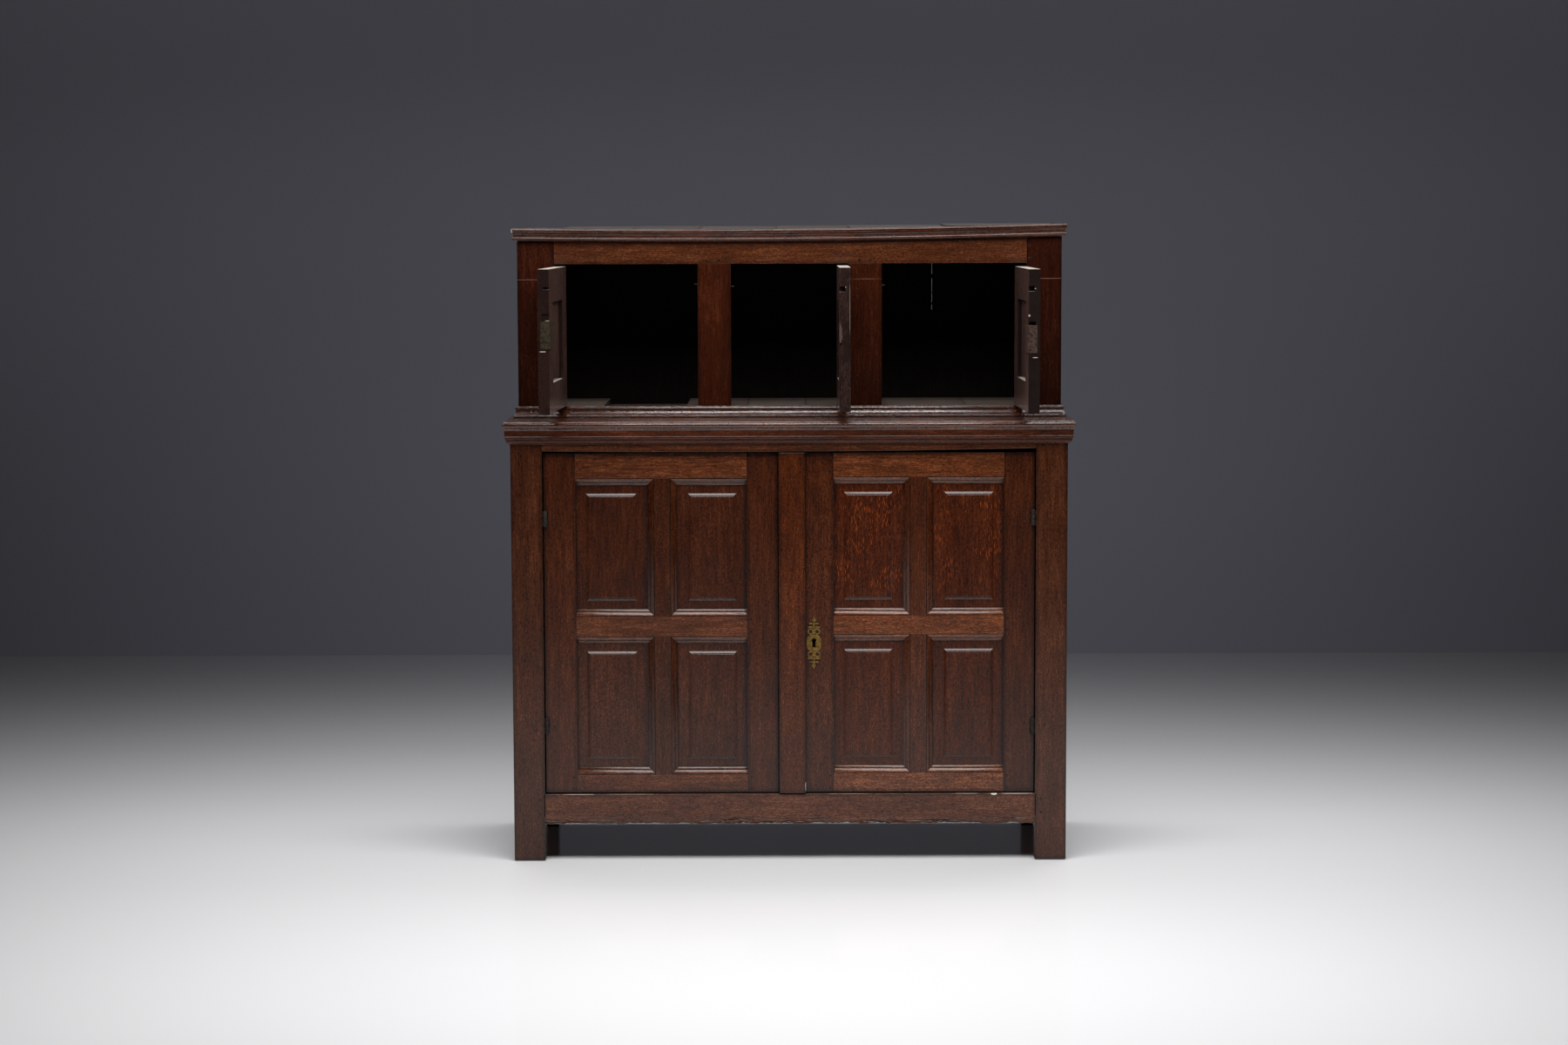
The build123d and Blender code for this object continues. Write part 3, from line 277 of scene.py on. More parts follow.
def oakPaint(name, look):
    paint = Paint(bpy.data.materials.new(name))
    place = paint.attribute("grain")
    luck = paint.parts(paint.attribute("luck"))
    across, deep = paint.parts(place)[:2]
    noises = {kind: paint.noise(place, *size) for kind, size in figure.items()}
    speck, fibre, streak, cloud, blotch, patchy = (
        noises[kind] for kind in ("speck", "fibre", "streak", "cloud", "blotch", "patchy"))

    # growth rings about a pith beside the board, and the fibres between them
    wander = noises["wander"] * look["wander"]
    beside, spread, below = look["pith"]
    pith = paint.vector(across + wander + beside + luck[2] * spread, deep + wander + below, 0.0)
    ring = (paint.length(pith) / look["ring"]).fraction()
    late = ring.step(0.0, 0.55) * ring.step(1.0, 0.90)
    tone = (speck - 0.5) * look["speck"] + (fibre - 0.5) * look["fibre"] + (streak - 0.5) * look["streak"]
    tone = tone + (noises["band"] - 0.5) * look["band"] + (cloud - 0.5) * look["cloud"]
    tone = tone + (luck[0] - 0.5) * look["spread"] + 0.5
    wood = paint.mix(tone.step(0.0, 0.5), look["dark"], look["middle"])
    wood = paint.mix(tone.step(0.5, 1.0), wood, look["light"])
    wood = paint.mix((1.0 - late) * look["ringDepth"], wood, look["dark"])

    # pores: fine dark strokes, thick in the early wood
    stroke = noises["pores"].step(0.55, 0.68) * (1.0 - late * 0.5)
    wood = paint.mix(stroke * look["poreDepth"], wood, look["pore"])
    wood = paint.mix(blotch.step(0.50, 0.72) * look["stain"], wood, look["dark"])

    # the wood is paler towards the floor: partly scuffs and dust, partly painted light and reflection from
    # the bright floor
    inPlace = paint.node("ShaderNodeTexCoord", output="Object")
    height = paint.parts(inPlace)[2]
    scuffAndFloorLight = height.step(*look["scuffAndFloorLightFrom"]) * (speck * 0.5 + fibre * 0.5).step(0.36, 0.68) * look["scuffAndFloorLight"]
    wood = paint.mix(scuffAndFloorLight, wood, look["scuffAndFloorLightColour"])

    # rays: pale wavy flecks where the board is cut on the quarter
    sway = noises["sway"] * look["raySway"]
    cells = paint.stretch(paint.moved(place, paint.vector(sway, 0.0, sway)), rayCells)
    cell = paint.node("ShaderNodeTexVoronoi", values={"Vector": cells, "Scale": 1.0}, output="Distance")
    above = height.step(look["fleckAbove"], look["fleckAbove"] + 0.1)
    fleck = cell.step(0.36, 0.16) * noises["rayPatches"].step(0.38, 0.60) * look["fleck"] * above
    wood = paint.mix(fleck, wood, look["ray"])

    # grime by the joints; darkening in corners, partly grime and partly painted shade; and paler wood on
    # rubbed edges
    near = paint.attribute("near")
    rim = paint.parts(paint.node("ShaderNodeVectorMath", {"operation": "MINIMUM"},
                                 {0: near, 1: paint.attribute("far")}))
    ragged = noises["ragged"] * look["ragged"]
    border = (rim[0] - ragged).step(*look["rimAcross"]) * 0.7
    border = border + (rim[2] - ragged).step(*look["rimEnds"]) * 0.6
    wood = paint.mix(border * look["border"], wood, look["waxAndShade"])
    left = paint.parts(near)[0]
    bluish = (left + (blotch - 0.5) * 0.03).step(*look["sideReach"]) * look["sideGrime"]
    wood = paint.mix(bluish, wood, look["grey"])
    rounded = paint.node("ShaderNodeBevel", {"samples": 4}, {"Radius": look["rub"]})
    plain = paint.node("ShaderNodeNewGeometry", output="Normal")
    bent = 1.0 - paint.node("ShaderNodeVectorMath", {"operation": "DOT_PRODUCT"},
                            {0: rounded, 1: plain}, output="Value")
    edge = bent.step(0.02, 0.22) * patchy.step(0.42, 0.64)
    hollow = paint.hollow(look["hollow"])
    # painted shade: corners and recesses found by ambient occlusion are darkened, partly grime
    grimeAndShade = hollow.step(0.85, 0.35)
    wood = paint.mix(edge * hollow.step(0.55, 0.95) * look["wear"], wood, look["worn"])
    wood = paint.mix(grimeAndShade * look["grimeAndShade"], wood, look["waxAndShade"])

    # knocks: small dark dents, thick on mouldings
    dent = noises["dents"].step(look["dentFrom"], look["dentFrom"] + 0.07) * look["dents"]
    wood = paint.mix(dent * 0.8, wood, look["waxAndShade"])

    # what faces up is paler: partly dust, partly painted light from above
    up = paint.facing(top).step(0.75, 0.98)
    dust = up * (noises["grit"].step(0.30, 0.70) * 0.6 + 0.4) * look["dust"]
    wood = paint.mix(dust, wood, look["dustColour"])
    gloss = look["rough"] + (fibre - 0.5) * 0.16 + (blotch - 0.5) * 0.08 + dust * 0.4
    if "raw" in look:       # the unpolished faces, turned away from look["outward"]
        outside = paint.facing(look["outward"])
        greyed = paint.mix((fibre * 0.7 + speck * 0.3).step(0.34, 0.64), look["rawDark"], look["raw"])
        greyed = paint.mix(blotch.step(0.46, 0.62) * 0.7, greyed, look["rawDark"])
        inner = paint.mix((streak * 0.6 + cloud * 0.4).step(0.35, 0.65),
                          look["rawInnerDark"], look["rawInner"])
        greyed = paint.mix(outside.step(-0.5, -0.8), greyed, inner)
        greyed = paint.mix(stroke * 0.6, greyed, look["pore"])
        # the raw faces get the same painted shade in corners, partly grime
        greyed = paint.mix(grimeAndShade * 0.6, greyed, look["waxAndShade"])
        # what faces up on the raw faces is paler: partly dust, partly painted light from above
        greyed = paint.mix(dust, greyed, look["dustColour"])
        wood = paint.mix(outside.step(*look["rawFrom"]), wood, greyed)
        # the top edges of the doors are painted pale: partly dust, partly painted light from above
        ends = (height + patchy * 0.010).step(look["dustEdge"], look["dustEdge"] + 0.0008)
        wood = paint.mix(ends * 0.9, wood, look["dustTop"])
    wood = paint.mix(1.0, wood, look["tint"], blend="MULTIPLY")
    for middle, size, colour in look["marks"]:      # chips and stains: where, how large in mm, colour
        shift = paint.moved(inPlace, tuple(-value * mm for value in middle))
        away = paint.length(paint.stretch(shift, tuple(1 / (value * mm) for value in size)))
        wood = paint.mix((away + (patchy - 0.5) * 1.6).step(1.0, 0.8), wood, colour)

    normal = paint.bump(noises["planed"], look["wave"])
    relief = speck * 0.3 + fibre * 0.5 + streak * 0.3 + late * 0.2
    relief = relief - stroke * 0.5 - dent * look["dentDepth"]
    normal = paint.bump(relief, look["relief"], normal=normal)
    return paint.finish(paint.surface(Base_Color=wood, Roughness=gloss, Normal=normal,
                                      Specular_IOR_Level=look["shine"], IOR=1.5))


oak = {                         # lengths in metres
    "dark": srgb(34, 13, 5),
    "middle": srgb(66, 29, 12),
    "light": srgb(104, 56, 32),
    "pore": srgb(18, 7, 3),
    "ray": srgb(168, 84, 32),
    "worn": srgb(112, 64, 40),
    # dark wax in dents and joints, and the colour of the painted shade in corners
    "waxAndShade": srgb(14, 7, 4),
    # pale scuffs low down, also the colour of the painted light from the floor
    "scuffAndFloorLightColour": srgb(150, 116, 102),
    "grey": srgb(30, 21, 22),
    "dustColour": srgb(104, 88, 80),
    "tint": (1.0, 1.0, 1.0, 1.0),
    "marks": (),
    "ring": 0.0034,             # width of a growth ring
    "ringDepth": 0.2,
    "wander": 0.034,            # how far the rings stray
    "pith": (0.10, 0.2, 0.03),  # beside the board, how much that varies, and below it
    "speck": 1.4,
    "fibre": 1.3,
    "streak": 0.9,
    "band": 0.6,
    "cloud": 0.6,
    "spread": 0.12,             # from board to board
    "poreDepth": 0.55,
    "stain": 0.3,
    "fleck": 0.0,
    "fleckAbove": -1.0,         # no flecks below this height
    "raySway": 0.012,
    "border": 0.6,              # dark lines along the edges of a board
    "ragged": 0.012,
    "rimAcross": (0.005, -0.003),
    "rimEnds": (0.007, -0.001),
    "sideGrime": 0.0,           # a bluish shade along the left edge
    "sideReach": (0.024, 0.012),
    "scuffAndFloorLight": 0.09,
    "scuffAndFloorLightFrom": (0.95, 0.05),   # heights where it starts and where it is full
    "rub": 0.0022,
    "wear": 0.5,
    "grimeAndShade": 0.8,
    "hollow": 0.02,             # how far from a corner the grime and painted shade reach
    "dents": 0.2,
    "dentFrom": 0.58,
    "dentDepth": 1.0,
    "dust": 0.06,
    "rough": 0.22,
    "shine": 0.4,
    "relief": 0.0002,
    "wave": 0.0008,
}


def tinted(look, red, green, blue, **changes):
    # the same wood, lighter or darker
    return {**look, "tint": (red, green, blue, 1.0), **changes}


rail = tinted(oak, 1.35, 1.5, 1.55)
doorRail = tinted(oak, 1.3, 1.4, 1.4, fibre=1.5, streak=1.2)
rightRail = tinted(oak, 1.95, 2.1, 1.95, fibre=1.5, streak=1.2)
stile = tinted(oak, 0.84, 0.8, 0.76)
rightStile = tinted(oak, 0.79, 0.74, 0.69)
leftMuntin = tinted(oak, 0.68, 0.66, 0.6)
leftPanel = tinted(oak, 0.75, 0.73, 0.75, sideGrime=0.5)
rightPanel = tinted(oak, 0.81, 0.62, 0.44, fleck=0.6, fleckAbove=0.66, sideGrime=0.3)
bottomRail = tinted(oak, 1.35, 1.5, 1.55, marks=[       # its top arris is rubbed pale and chipped, and a painted highlight lies along it
    ((-560, -160, 177.5), (50, 4, 1.1), srgb(150, 132, 120)),
    ((-420, -160, 178), (70, 4, 1.0), srgb(128, 106, 92)),
    ((150, -160, 177.5), (60, 4, 1.0), srgb(120, 96, 84)),
    ((538, -160, 177), (9, 4, 3.2), srgb(236, 226, 216)),
    ((590, -160, 177.5), (60, 4, 1.3), srgb(170, 152, 140)),
    ((470, -160, 178), (40, 4, 1.2), srgb(150, 130, 118)),
])
strip = tinted(oak, 1.1, 0.95, 0.68, marks=[((42, -163, 196), (1.6, 4, 15), srgb(205, 190, 178))])
leg = tinted(oak, 0.9, 1.0, 1.1)
moulding = tinted(oak, 0.92, 0.88, 0.86, dust=0.12, wear=0.8, rough=0.2, dents=0.8, border=0.0, shine=0.5)
nosing = {**moulding, "shine": 0.7, "dentFrom": 0.55}
baseMoulding = {**moulding, "shine": 0.85, "dents": 1.0, "dentFrom": 0.53}
bedMoulding = {**moulding, "shine": 0.22}
cornice = {**moulding, "shine": 0.4, "tint": (0.8, 0.76, 0.74, 1.0), "marks": [     # chipped left corner
    ((-731, -8, 1651), (5, 9, 9), srgb(214, 190, 158)),
    ((-731, -6, 1640), (4, 6, 5), srgb(196, 172, 140)),
]}
scribe = srgb(112, 84, 70)      # the joiner's marking line
smooth = {**oak, "poreDepth": 0.3, "fibre": 0.8, "speck": 0.9, "relief": 0.00012}
upper = tinted(smooth, 0.42, 0.35, 0.4, marks=[
    ((-690, 0, 1525), (60, 3, 0.6), scribe), ((680, 0, 1525), (60, 3, 0.6), scribe)])
upperRail = tinted(oak, 1.05, 1.15, 1.2)
upperMuntin = tinted(smooth, 0.54, 0.45, 0.42, marks=[((202, 0, 1525), (50, 3, 0.5), scribe)])
bare = {**oak, "dark": srgb(38, 33, 29), "middle": srgb(68, 61, 55), "light": srgb(97, 90, 83),
        "dust": 0.4, "rough": 0.3, "wear": 0.2, "border": 0.3, "shine": 0.3}
topBoards = {**bare, "dark": srgb(24, 20, 19), "middle": srgb(44, 39, 37), "light": srgb(66, 60, 57),
             "dust": 0.2}
# the inner face of the upper back boards is near black: painted shade inside the cupboard
paintedShadeInside = {**bare, "dark": srgb(8, 6, 6), "middle": srgb(14, 12, 10), "light": srgb(24, 20, 17),
          "dust": 0.1, "shine": 0.1}
upperBack = {**paintedShadeInside, "outward": front, "raw": srgb(50, 38, 32), "rawDark": srgb(28, 20, 17),
             "rawInner": srgb(92, 70, 57), "rawInnerDark": srgb(56, 40, 32), "rawFrom": (0.5, 0.2),
             "dustTop": srgb(92, 70, 57), "dustEdge": 9.0}      # too high for a pale top edge
lowerBack = {**upperBack, "dark": srgb(30, 23, 19), "middle": srgb(54, 43, 36), "light": srgb(78, 66, 57)}


def outwardOf(name):
    # the way a door's outer face looks, found from its narrowest direction
    points = pointsOf(nodes[name + "_panel"].data)
    spread = np.linalg.eigh(np.cov((points - points.mean(0)).T))
    way = Vector(spread[1][:, 0])
    way.z = 0
    way.normalize()
    wanted = -1 if name == "upper_left" else 1      # the left door opens the other way
    return way if way.x * wanted > 0 else -way


plan = [      # pieces, look, the way the face looks, the way the grain runs, rounding of the arrises in mm
    (("front_leg_left", "front_leg_right"), leg, front, None, 2.2),
    (("back_legs",), leg, front, None, 2.0),
    (("lower_top_rail",), rail, front, None, 1.2),
    (("lower_bottom_rail",), bottomRail, front, None, 1.2),
    (("left_door_stiles",), stile, front, None, 0.8),
    (("right_door_stiles",), rightStile, front, None, 0.8),
    (("left_door_rails",), doorRail, front, None, 0.25),
    (("right_door_rails",), rightRail, front, None, 0.25),
    (("left_door_muntins",), leftMuntin, front, None, 0.25),
    (("right_door_muntins",), oak, front, None, 0.25),
    (("left_door_panels",), leftPanel, front, None, 0.25),
    (("right_door_panels",), rightPanel, front, None, 0.25),
    (("cover_strip",), strip, front, None, 0.8),
    (("left_door_pegs", "right_door_pegs"), oak, front, None, 0.3),
    (("waist_boards",), nosing, top, None, 0.3),
    (("waist_moulding",), bedMoulding, front, None, 0.3),
    (("base_moulding",), baseMoulding, front, None, 0.3),
    (("cornice_moulding",), cornice, front, None, 0.3),
    (("upper_stile_left", "upper_stile_right"), upper, front, None, 0.8),
    (("upper_muntins",), upperMuntin, front, None, 0.8),
    (("upper_top_rail", "upper_bottom_rail"), upperRail, front, None, 0.8),
    (("frame_pegs",), oak, front, None, 0.3),
    (("lower_side_rails", "upper_side_rails"), oak, side, None, 0.5),
    (("lower_side_panels", "upper_side_panels"), oak, side, "up", 0.4),
    (("lower_back_rails", "upper_back_frame"), bare, back, None, 1.0),
    (("lower_back_boards",), lowerBack, back, "up", 0.6),
    (("upper_back_boards",), upperBack, back, "up", 0.6),
    (("lower_floor_boards", "lower_shelf", "upper_floor_boards"), bare, top, None, 0.6),
    (("top_boards",), topBoards, top, None, 0.6),
]

oakPaints = []      # each look with its material


def oakOf(look, name):
    # the material of a look, made for the first piece that asks
    for known, material in oakPaints:
        if known is look:
            return material
    oakPaints.append((look, oakPaint("oak_" + name, look)))
    return oakPaints[-1][1]


def coat(node, material):
    node.data.materials.clear()
    node.data.materials.append(material)


def dress(name, look, outward, along, width):
    cutBoards(nodes[name], outward, along)
    coat(nodes[name], oakOf(look, name))
    easeEdges(nodes[name], width)


for names, look, outward, along, width in plan:
    for name in names:
        dress(name, look, outward, along, width)
print("carcase and lower doors dressed")

pale = srgb(176, 158, 146)
doorEdges = {       # the narrow meeting edges, with their chips and holes
    "upper_left": {"raw": srgb(46, 28, 24), "marks": [
        ((-612, -376, 1512), (8, 3, 1.3), pale),
        ((-610, -376, 1430), (9, 3, 1.4), pale),
        ((-622, -376, 1352), (9, 3, 1.0), pale)]},
    "upper_middle": {"raw": srgb(50, 34, 30), "marks": [
        ((140, -309, 1511), (8, 3, 1.2), pale),
        ((132, -309, 1395), (5, 3, 28), srgb(72, 56, 50)),
        ((133, -309, 1366), (3, 3, 4), srgb(8, 6, 5)),
        ((156, -309, 1450), (0.8, 3, 80), srgb(96, 80, 72))]},
    "upper_right": {"raw": srgb(29, 23, 22), "marks": [
        ((614, -380, 1508), (9, 3, 1.3), pale),
        ((606, -380, 1440), (4, 3, 3), pale),
        ((622, -380, 1334), (8, 3, 1.0), pale)]},
}
for name, ownEdge in doorEdges.items():
    outward = outwardOf(name)
    openDoor = {
        **oak,
        "outward": tuple(outward),
        "rawFrom": (0.5, 0.2),
        "rawDark": srgb(22, 14, 12),
        "rawInner": srgb(84, 62, 56),
        "rawInnerDark": srgb(60, 43, 38),
        # what faces up, and the top edge, are near white: partly dust, partly painted light from above
        "dust": 0.75,
        "dustColour": srgb(216, 202, 190),
        "dustTop": srgb(236, 222, 210),
        "dustEdge": 1.569,      # above this height the top edge is pale
        "border": 0.0,
        "relief": 0.0001,
        **ownEdge,
    }
    dress(name + "_frame", openDoor, outward, None, 0.9)
    dress(name + "_panel", openDoor, outward, "up", 0.4)
print("upper doors dressed")


def addMesh(name, corners, faces, body=None):
    # a new piece that rides on a body; without one it belongs to the studio
    mesh = bpy.data.meshes.new(name)
    mesh.from_pydata(corners, [], faces)
    made = bpy.data.objects.new(name, mesh)
    bpy.context.scene.collection.objects.link(made)
    if body:
        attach(made, body)
    return made


def boxMesh(name, boxes, body):
    # upright boxes as one piece; each is (x, x, y, y, z, z) in mm
    corners, faces = [], []
    for x0, x1, y0, y1, z0, z1 in boxes:
        start = len(corners)
        corners += [(x * mm, y * mm, z * mm) for z in (z0, z1)
                    for x, y in ((x0, y0), (x1, y0), (x1, y1), (x0, y1))]
        faces += [tuple(start + corner for corner in face) for face in
                  ((3, 2, 1, 0), (4, 5, 6, 7), (0, 1, 5, 4), (1, 2, 6, 5), (2, 3, 7, 6), (3, 0, 4, 7))]
    return addMesh(name, corners, faces, body)


def ripple(points, scale, seed):
    # smooth noise at each point, about -0.5 to 0.5
    start = Vector((seed, seed * 0.7, -seed))
    return np.array([noise.noise(Vector(point) * scale + start) for point in points])


def wornBoard(name, low, high, ticks, radius, body):
    # a board as a fine mesh with rubbed arrises; ticks are its cuts along x, y and z
    low, high = np.array(low), np.array(high)
    points, quads, count = [], [], 0
    for axis in range(3):
        first, second = [other for other in range(3) if other != axis]
        for end in (0, 1):
            grid = np.zeros((len(ticks[first]), len(ticks[second]), 3))
            grid[..., first] = ticks[first][:, None]
            grid[..., second] = ticks[second][None, :]
            grid[..., axis] = high[axis] if end else low[axis]
            index = count + np.arange(grid[..., 0].size).reshape(grid.shape[:2])
            ring = [index[:-1, :-1], index[1:, :-1], index[1:, 1:], index[:-1, 1:]]
            if end == (axis == 1):      # so that every face looks out
                ring = ring[::-1]
            quads.append(np.stack(ring, axis=-1).reshape(-1, 4))
            points.append(grid.reshape(-1, 3))
            count += index.size
    points, merged = np.unique(np.round(np.concatenate(points), 4), axis=0, return_inverse=True)
    quads = merged.reshape(-1)[np.concatenate(quads)]
    reach = radius(points)[:, None]
    inner = np.clip(points, low + reach, high - reach)
    offset = points - inner
    points = inner + offset / np.maximum(np.linalg.norm(offset, axis=1, keepdims=True), 1e-9) * reach
    made = addMesh(name, (points * mm).tolist(), quads.tolist(), body)
    made.data.polygons.foreach_set("use_smooth", [True] * len(quads))
    return made


wornRail = {            # lengths in mm
    "half": 650,        # from the middle to either end
    "rub": 1.6,         # radius of its arrises
    "rubVaries": 1.4,
    "wane": 4.5,        # how far the lower edge is eaten away
    "waneReach": 20,    # and how far up that shows
    "sag": 8.5,         # how far it hangs below the sawn line elsewhere
    "hollowed": 3.0,    # how far the front is worn back by the lower edge
    "frontReach": 8,
    "fine": (6, 22, 0.8),       # the part above the lower edge that has close cuts, and their spacing
    "cuts": (4.0, 8, 9),        # spacing of the mesh along x, y and z
    "closeCuts": (0, 0.5, 1.1, 1.9, 3, 5),      # extra cuts by its arrises
    "splits": 26,
    "splitReach": 630,
    "splitLevels": (3, 17),
    "splitHalf": (20, 90),
    "splitDepth": 3.2,
    "splitWidth": 0.9,
    "splitSway": 5,
}


def cuts(low, high, spacing):
    # cut places between two ends, close together near them
    ends = np.array(wornRail["closeCuts"])
    between = np.linspace(low + ends[-1], high - ends[-1], max(2, round((high - low) / spacing)))
    return np.unique(np.concatenate((low + ends, between, high - ends)))


cadRail = pointsOf(nodes["lower_bottom_rail"].data) / mm
railLow, railHigh = cadRail.min(0), cadRail.max(0)
railLow[0], railHigh[0] = -wornRail["half"], wornRail["half"]
railLow[2] -= wornRail["sag"]
fineFrom, fineTo, fineStep = wornRail["fine"]
fineCuts = np.arange(railLow[2] + fineFrom, railLow[2] + fineTo, fineStep)
stepX, stepY, stepZ = wornRail["cuts"]
railTicks = [np.arange(railLow[0], railHigh[0] + 0.1, stepX), cuts(railLow[1], railHigh[1], stepY),
             np.unique(np.concatenate((cuts(railLow[2], railHigh[2], stepZ), fineCuts)))]
bottomRailWorn = wornBoard(
    "bottom_rail_worn", railLow, railHigh, railTicks,
    lambda points: wornRail["rub"] + ripple(points, 0.05, 3.0) * wornRail["rubVaries"], "root")
points = pointsOf(bottomRailWorn.data) / mm
lengthwise = points * side
below = np.clip(1 - (points[:, 2] - railLow[2]) / wornRail["waneReach"], 0, 1)
onFront = np.clip(1 - (points[:, 1] - railLow[1]) / wornRail["frontReach"], 0, 1)
eaten = np.clip(ripple(lengthwise, 0.02, 9.0) + ripple(lengthwise, 0.11, 4.0) * 0.6 + 0.35, 0, 1)
points[:, 2] += below * eaten * wornRail["wane"]
points[:, 1] += below * onFront * np.clip(ripple(points, 0.06, 6.0) + 0.3, 0, 1) * wornRail["hollowed"]
draw = np.random.default_rng(5)
for split in range(wornRail["splits"]):
    middle = draw.uniform(-wornRail["splitReach"], wornRail["splitReach"])
    half = draw.uniform(*wornRail["splitHalf"])
    level = railLow[2] + draw.uniform(*wornRail["splitLevels"])
    line = level + ripple(lengthwise, 0.03, split) * wornRail["splitSway"]
    share = np.clip(1 - np.abs(points[:, 0] - middle) / half, 0, 1) ** 0.5
    depth = np.exp(-((points[:, 2] - line) / wornRail["splitWidth"]) ** 2) * share * (onFront > 0.9)
    points[:, 1] += depth * wornRail["splitDepth"] * draw.uniform(0.5, 1)
bottomRailWorn.data.vertices.foreach_set("co", (points * mm).reshape(-1))
cutBoards(bottomRailWorn, front, "side")
coat(bottomRailWorn, oakOf(bottomRail, "lower_bottom_rail"))
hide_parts("lower_bottom_rail")
print("worn bottom rail made")

wornFoot = {"width": 3, "within": 6, "segments": 5}        # mm


def wearFoot(name):
    # rounds the outer bottom edge of one front foot, before its other arrises
    node = nodes[name]
    points = pointsOf(node.data)
    outer = np.abs(points[:, 0])
    within = wornFoot["within"] * mm
    low = (points[:, 2] < within) & (outer > outer.max() - within)
    node.vertex_groups.new(name="foot").add([int(index) for index in np.flatnonzero(low)], 1.0, "REPLACE")
    worn = node.modifiers.new("foot", "BEVEL")
    worn.width = wornFoot["width"] * mm
    worn.segments = wornFoot["segments"]
    worn.limit_method = "VGROUP"
    worn.vertex_group = "foot"
    node.modifiers.move(len(node.modifiers) - 1, 2)


wearFoot("front_leg_left")
wearFoot("front_leg_right")

slips = {               # thin strips that close the gaps between the back boards, mm
    "half": 4.5,        # half their width
    "thick": 1.5,
    "joints": (-452, -236, -28, 176),   # where the upper back boards meet
    "face": 358,                        # inner face of those boards
    "foot": 1172,
    "head": 1600,
    "open": 394,                        # the joint that has opened
    "openHalf": 0.8,
    "openFrom": 1432,
    "openTo": 1574,
    "bridged": ((1446, 1452), (1478, 1481), (1519, 1530)),      # dirt that bridges the open joint
}


def slipMesh(name, strips, face, look):
    # strips are (x, x, z, z)
    made = boxMesh(name, [(left, right, face - slips["thick"], face, low, high)
                          for left, right, low, high in strips], "root")
    cutBoards(made, back, "up")
    coat(made, oakOf(look, name))


def acrossJoint(x, low, high):
    return x - slips["half"], x + slips["half"], low, high


openAt, openFrom, openTo = slips["open"], slips["openFrom"], slips["openTo"]
strips = [acrossJoint(x, slips["foot"], slips["head"]) for x in slips["joints"]]
strips += [acrossJoint(openAt, low, high) for low, high in
           ((slips["foot"], openFrom), *slips["bridged"], (openTo, slips["head"]))]
strips += [(openAt - slips["half"], openAt - slips["openHalf"], openFrom, openTo),
           (openAt + slips["openHalf"], openAt + slips["half"], openFrom, openTo)]
slipMesh("back_slips", strips, slips["face"], upperBack)

lowerBoards = nodes["lower_back_boards"].data
points = pointsOf(lowerBoards)
board = separateBoards(lowerBoards, points)
points = points / mm
each = [points[board == number, 0] for number in set(board)]
spans = sorted((across.min(), across.max()) for across in each)
joints = [(one[1] + other[0]) / 2 for one, other in zip(spans[:-1], spans[1:])]
slipMesh("lower_back_slips", [acrossJoint(x, points[:, 2].min(), points[:, 2].max()) for x in joints],
         points[:, 1].min(), lowerBack)
print("back slips made")


def metalPaint(name, look):
    paint = Paint(bpy.data.materials.new(name))
    place = paint.node("ShaderNodeTexCoord", output="Object")
    spots = paint.noise(place, look["spots"], detail=4, roughness=0.65)
    fine = paint.noise(place, look["fine"], detail=3, roughness=0.6)
    colour = paint.mix(spots.step(0.35, 0.65), look["dark"], look["bright"])
    colour = paint.mix(paint.hollow(look["hollow"]).step(0.85, 0.4) * 0.7, colour, look["crust"])
    colour = paint.mix(spots.step(0.56, 0.70) * look["rust"], colour, look["crust"])
    rough = look["rough"] + (fine - 0.5) * 0.3 + spots.step(0.5, 0.7) * 0.2
    normal = paint.bump(spots * 0.6 + fine * 0.4, look["relief"])
    return paint.finish(paint.surface(Base_Color=colour, Roughness=rough, Normal=normal,
                                      Metallic=look["metal"], Specular_IOR_Level=look["shine"]))


iron = {
    "dark": srgb(20, 17, 16),
    "bright": srgb(46, 41, 38),
    "crust": srgb(44, 28, 20),
    "spots": 140.0,         # per metre
    "fine": 900.0,
    "hollow": 0.004,        # how far from a corner the crust reaches, in metres
    "rust": 0.6,
    "rough": 0.6,
    "relief": 0.0004,
    "metal": 0.0,           # rust has eaten the bare metal
    "shine": 0.2,
}
plate = {**iron, "dark": srgb(26, 22, 16), "bright": srgb(56, 49, 36), "crust": srgb(36, 22, 15),
         "rust": 0.7, "rough": 0.8, "relief": 0.0006, "shine": 0.06}
redPlate = {**plate, "dark": srgb(34, 25, 22), "bright": srgb(74, 56, 49), "crust": srgb(26, 16, 12)}
brass = {**iron, "dark": srgb(98, 74, 36), "bright": srgb(156, 124, 66), "crust": srgb(44, 34, 18),
         "rust": 0.3, "rough": 0.38, "relief": 0.0002, "metal": 0.9, "shine": 0.5}
ironPaint = metalPaint("old_iron", iron)
brassPaint = metalPaint("old_brass", brass)
hingeArris = 0.35       # mm
brassArris = 0.4
for name, node in nodes.items():
    if "hinge" in name or name in ("stop_nails", "lock_staple", "lock_case", "lock_bolt") or \
            name.endswith(("_lock", "_bolt")):
        coat(node, ironPaint)
    if "hinge" in name:
        easeEdges(node, hingeArris)
for name, look in (("upper_left_lock", plate), ("upper_right_lock", redPlate)):
    coat(nodes[name], metalPaint(name + "_iron", look))
coat(nodes["escutcheon"], brassPaint)
easeEdges(nodes["escutcheon"], brassArris)

nails = {                   # what is left of the nails of the lower hinges, mm
    "hinges": {"lower_door_left": (359, 905), "lower_door_right": (355, 906)},
    "axis": 644,            # from the middle to the hinges' axis
    "each": 5,
    "away": (24, 30),       # from the axis
    "upDown": 14,
    "legFace": -160,
    "doorFace": -148,
    "radius": 1.9,
    "smallest": 0.5,        # as a share of the radius
    "crown": 0.8,
    "proud": 0.7,
    "sides": 8,
}


